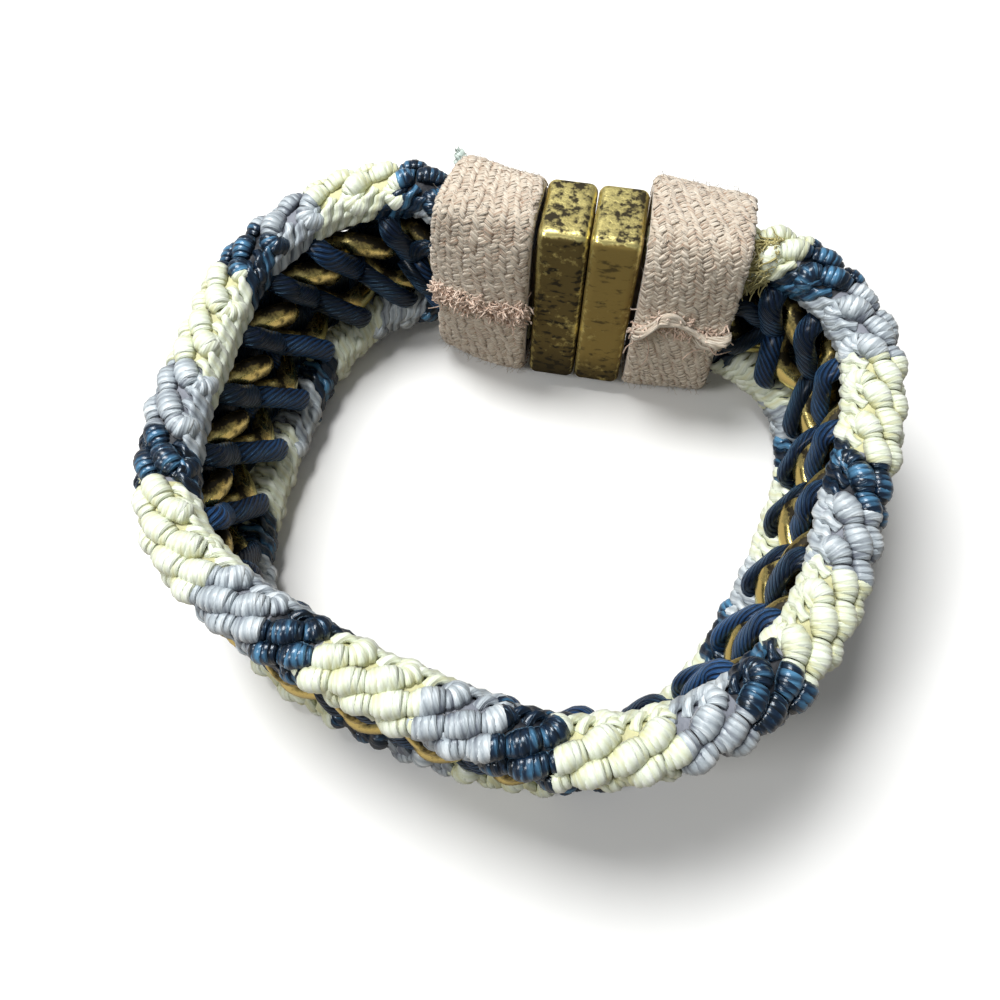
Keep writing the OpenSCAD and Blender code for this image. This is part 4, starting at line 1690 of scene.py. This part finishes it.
def make_stub():
    points = wall_point(STUB_U, STUB_A, STUB_V)[None] + STUB_SHIFTS[:, None]
    gathered = Gathered()
    thick = wall_frame(np.full(len(points), STUB_U[2]))[2]
    add_cord(gathered, points, *STUB_HALF, STUB_RINGS, thick, 0.5)
    tips = np.repeat(points[:, -2:], TUFT_COUNT, 0)
    root = tips[:, 1] + rng.normal(0, TUFT_SPREAD, tips[:, 1].shape)
    heading = unit(tips[:, 1] - tips[:, 0] + rng.normal(0, 0.2, root.shape))
    length = TUFT_SHORTEST + TUFT_LONGER_BY * rng.random(len(root))
    add_strays(gathered, root, heading, length, TUFT_CURL, TUFT_RADIUS, TUFT_RINGS, TUFT_SIDES)
    gathered.make("cord_stub", glued_cord)


glued_cord = cord_material(
    "glued_cord", colour(168, 184, 176), colour(206, 220, 212), colour(232, 240, 234), 2.0, 0.05,
    Roughness=0.5, Coat_Weight=0.2)
make_stub()

# %% [markdown]
# Beside the right wrap the band's own strands are cut and glued down as a straw-coloured fringe
# over its top and inner side. Its strands start on the band's surface and point to the ribbon.

# %% Straw-coloured fringe
FRINGE_COUNT = 320
FRINGE_REACH = 3.4
FRINGE_OVERLAP = 0.6
FRINGE_TURNS = [95, 150]
FRINGE_SINK = 0.1
FRINGE_SHORTEST = 1.2
FRINGE_LONGER_BY = 1.0
FRINGE_CURL = 0.3
FRINGE_THINNEST = 0.06
FRINGE_THICKER_BY = 0.07
FRINGE_RINGS = 7
FRINGE_SIDES = 5


def make_fringe():
    u = MOUTH_RIGHT + FRINGE_OVERLAP - FRINGE_REACH * rng.random(FRINGE_COUNT) ** 1.5
    turn = np.radians(FRINGE_TURNS[0] + FRINGE_TURNS[1] * rng.random(FRINGE_COUNT))
    root = band_point(u, turn, FRINGE_SINK, UPPER)
    _, along, _, height = wall_frame(u)
    heading = unit(along + rng.normal(0, 0.35, root.shape) - 0.5 * height)
    length = FRINGE_SHORTEST + FRINGE_LONGER_BY * rng.random(FRINGE_COUNT)
    radius = FRINGE_THINNEST + FRINGE_THICKER_BY * rng.random(FRINGE_COUNT)
    gathered = Gathered()
    add_strays(gathered, root, heading, length, FRINGE_CURL, radius, FRINGE_RINGS, FRINGE_SIDES)
    gathered.make("cord_fringe", straw_cord)


straw_cord = cord_material(
    "straw_cord", colour(140, 124, 66), colour(204, 194, 132), colour(232, 228, 180), 2.0, 0.05,
    Roughness=0.5, Coat_Weight=0.3)
make_fringe()

# %% [markdown]
# The floor is a plain plane. The camera sees it nearly white, as in the photo, but to the light it
# is a little darker and warmer, so that it doesn't brighten the cords from below. The light path
# node tells the two apart. The floor isn't part of the object.

# %% Floor
FLOOR_REACH = 1.5


def make_floor():
    mesh = bpy.data.meshes.new("floor")
    mesh.from_pydata([(x * FLOOR_REACH, y * FLOOR_REACH, 0)
                      for x, y in ((-1, -1), (1, -1), (1, 1), (-1, 1))], [], [(0, 1, 2, 3)])
    floor = bpy.data.objects.new("floor", mesh)
    material, tree, shader = new_material("pale_floor", Roughness=0.8)
    seen = node(tree, "LightPath").outputs["Is Camera Ray"]
    tone = blend_colours(tree, seen, colour(158, 149, 138), colour(250, 250, 248))
    tree.links.new(tone, shader.inputs["Base Color"])
    mesh.materials.append(material)
    bpy.context.scene.collection.objects.link(floor)


make_floor()
print("floor reaches to both sides in m:", FLOOR_REACH)

# %% [markdown]
# The light is soft studio light: a large lamp overhead for even light, a smaller one in front for
# the satin's highlights, and a pale world that fills the shadows. Square area lamps give the soft
# edges of such shadows, which point lamps don't.

# %% Lamps and world
LAMP_AIM = [0, 0, 10]
WORLD_TINT = (0.96, 0.98, 1, 1)
WORLD_STRENGTH = 0.22


def make_lamp(name, place, size, energy):
    """A square lamp at a place in millimetres, turned towards the bracelet."""
    data = bpy.data.lights.new(name, "AREA")
    data.size = size * MM
    data.energy = energy
    lamp = bpy.data.objects.new(name, data)
    back = unit(np.array(place, float) - LAMP_AIM)
    side = unit(np.cross([0, 1, 0.01], back))
    lamp.matrix_world = placed_at(side, np.cross(back, side), back, place)
    bpy.context.scene.collection.objects.link(lamp)
    print(name, "watts:", energy)


def make_world():
    world = bpy.data.worlds.new("soft_world")
    bpy.context.scene.world = world
    world.use_nodes = True
    background = world.node_tree.nodes["Background"]
    background.inputs["Color"].default_value = WORLD_TINT
    background.inputs["Strength"].default_value = WORLD_STRENGTH


make_lamp("overhead", [-130, 110, 360], 170, 1.85)
make_lamp("front_left", [-220, -160, 260], 90, 0.45)
make_world()

# %% Triangles in all
print("triangles in all:", sum(triangle_counts.values()))
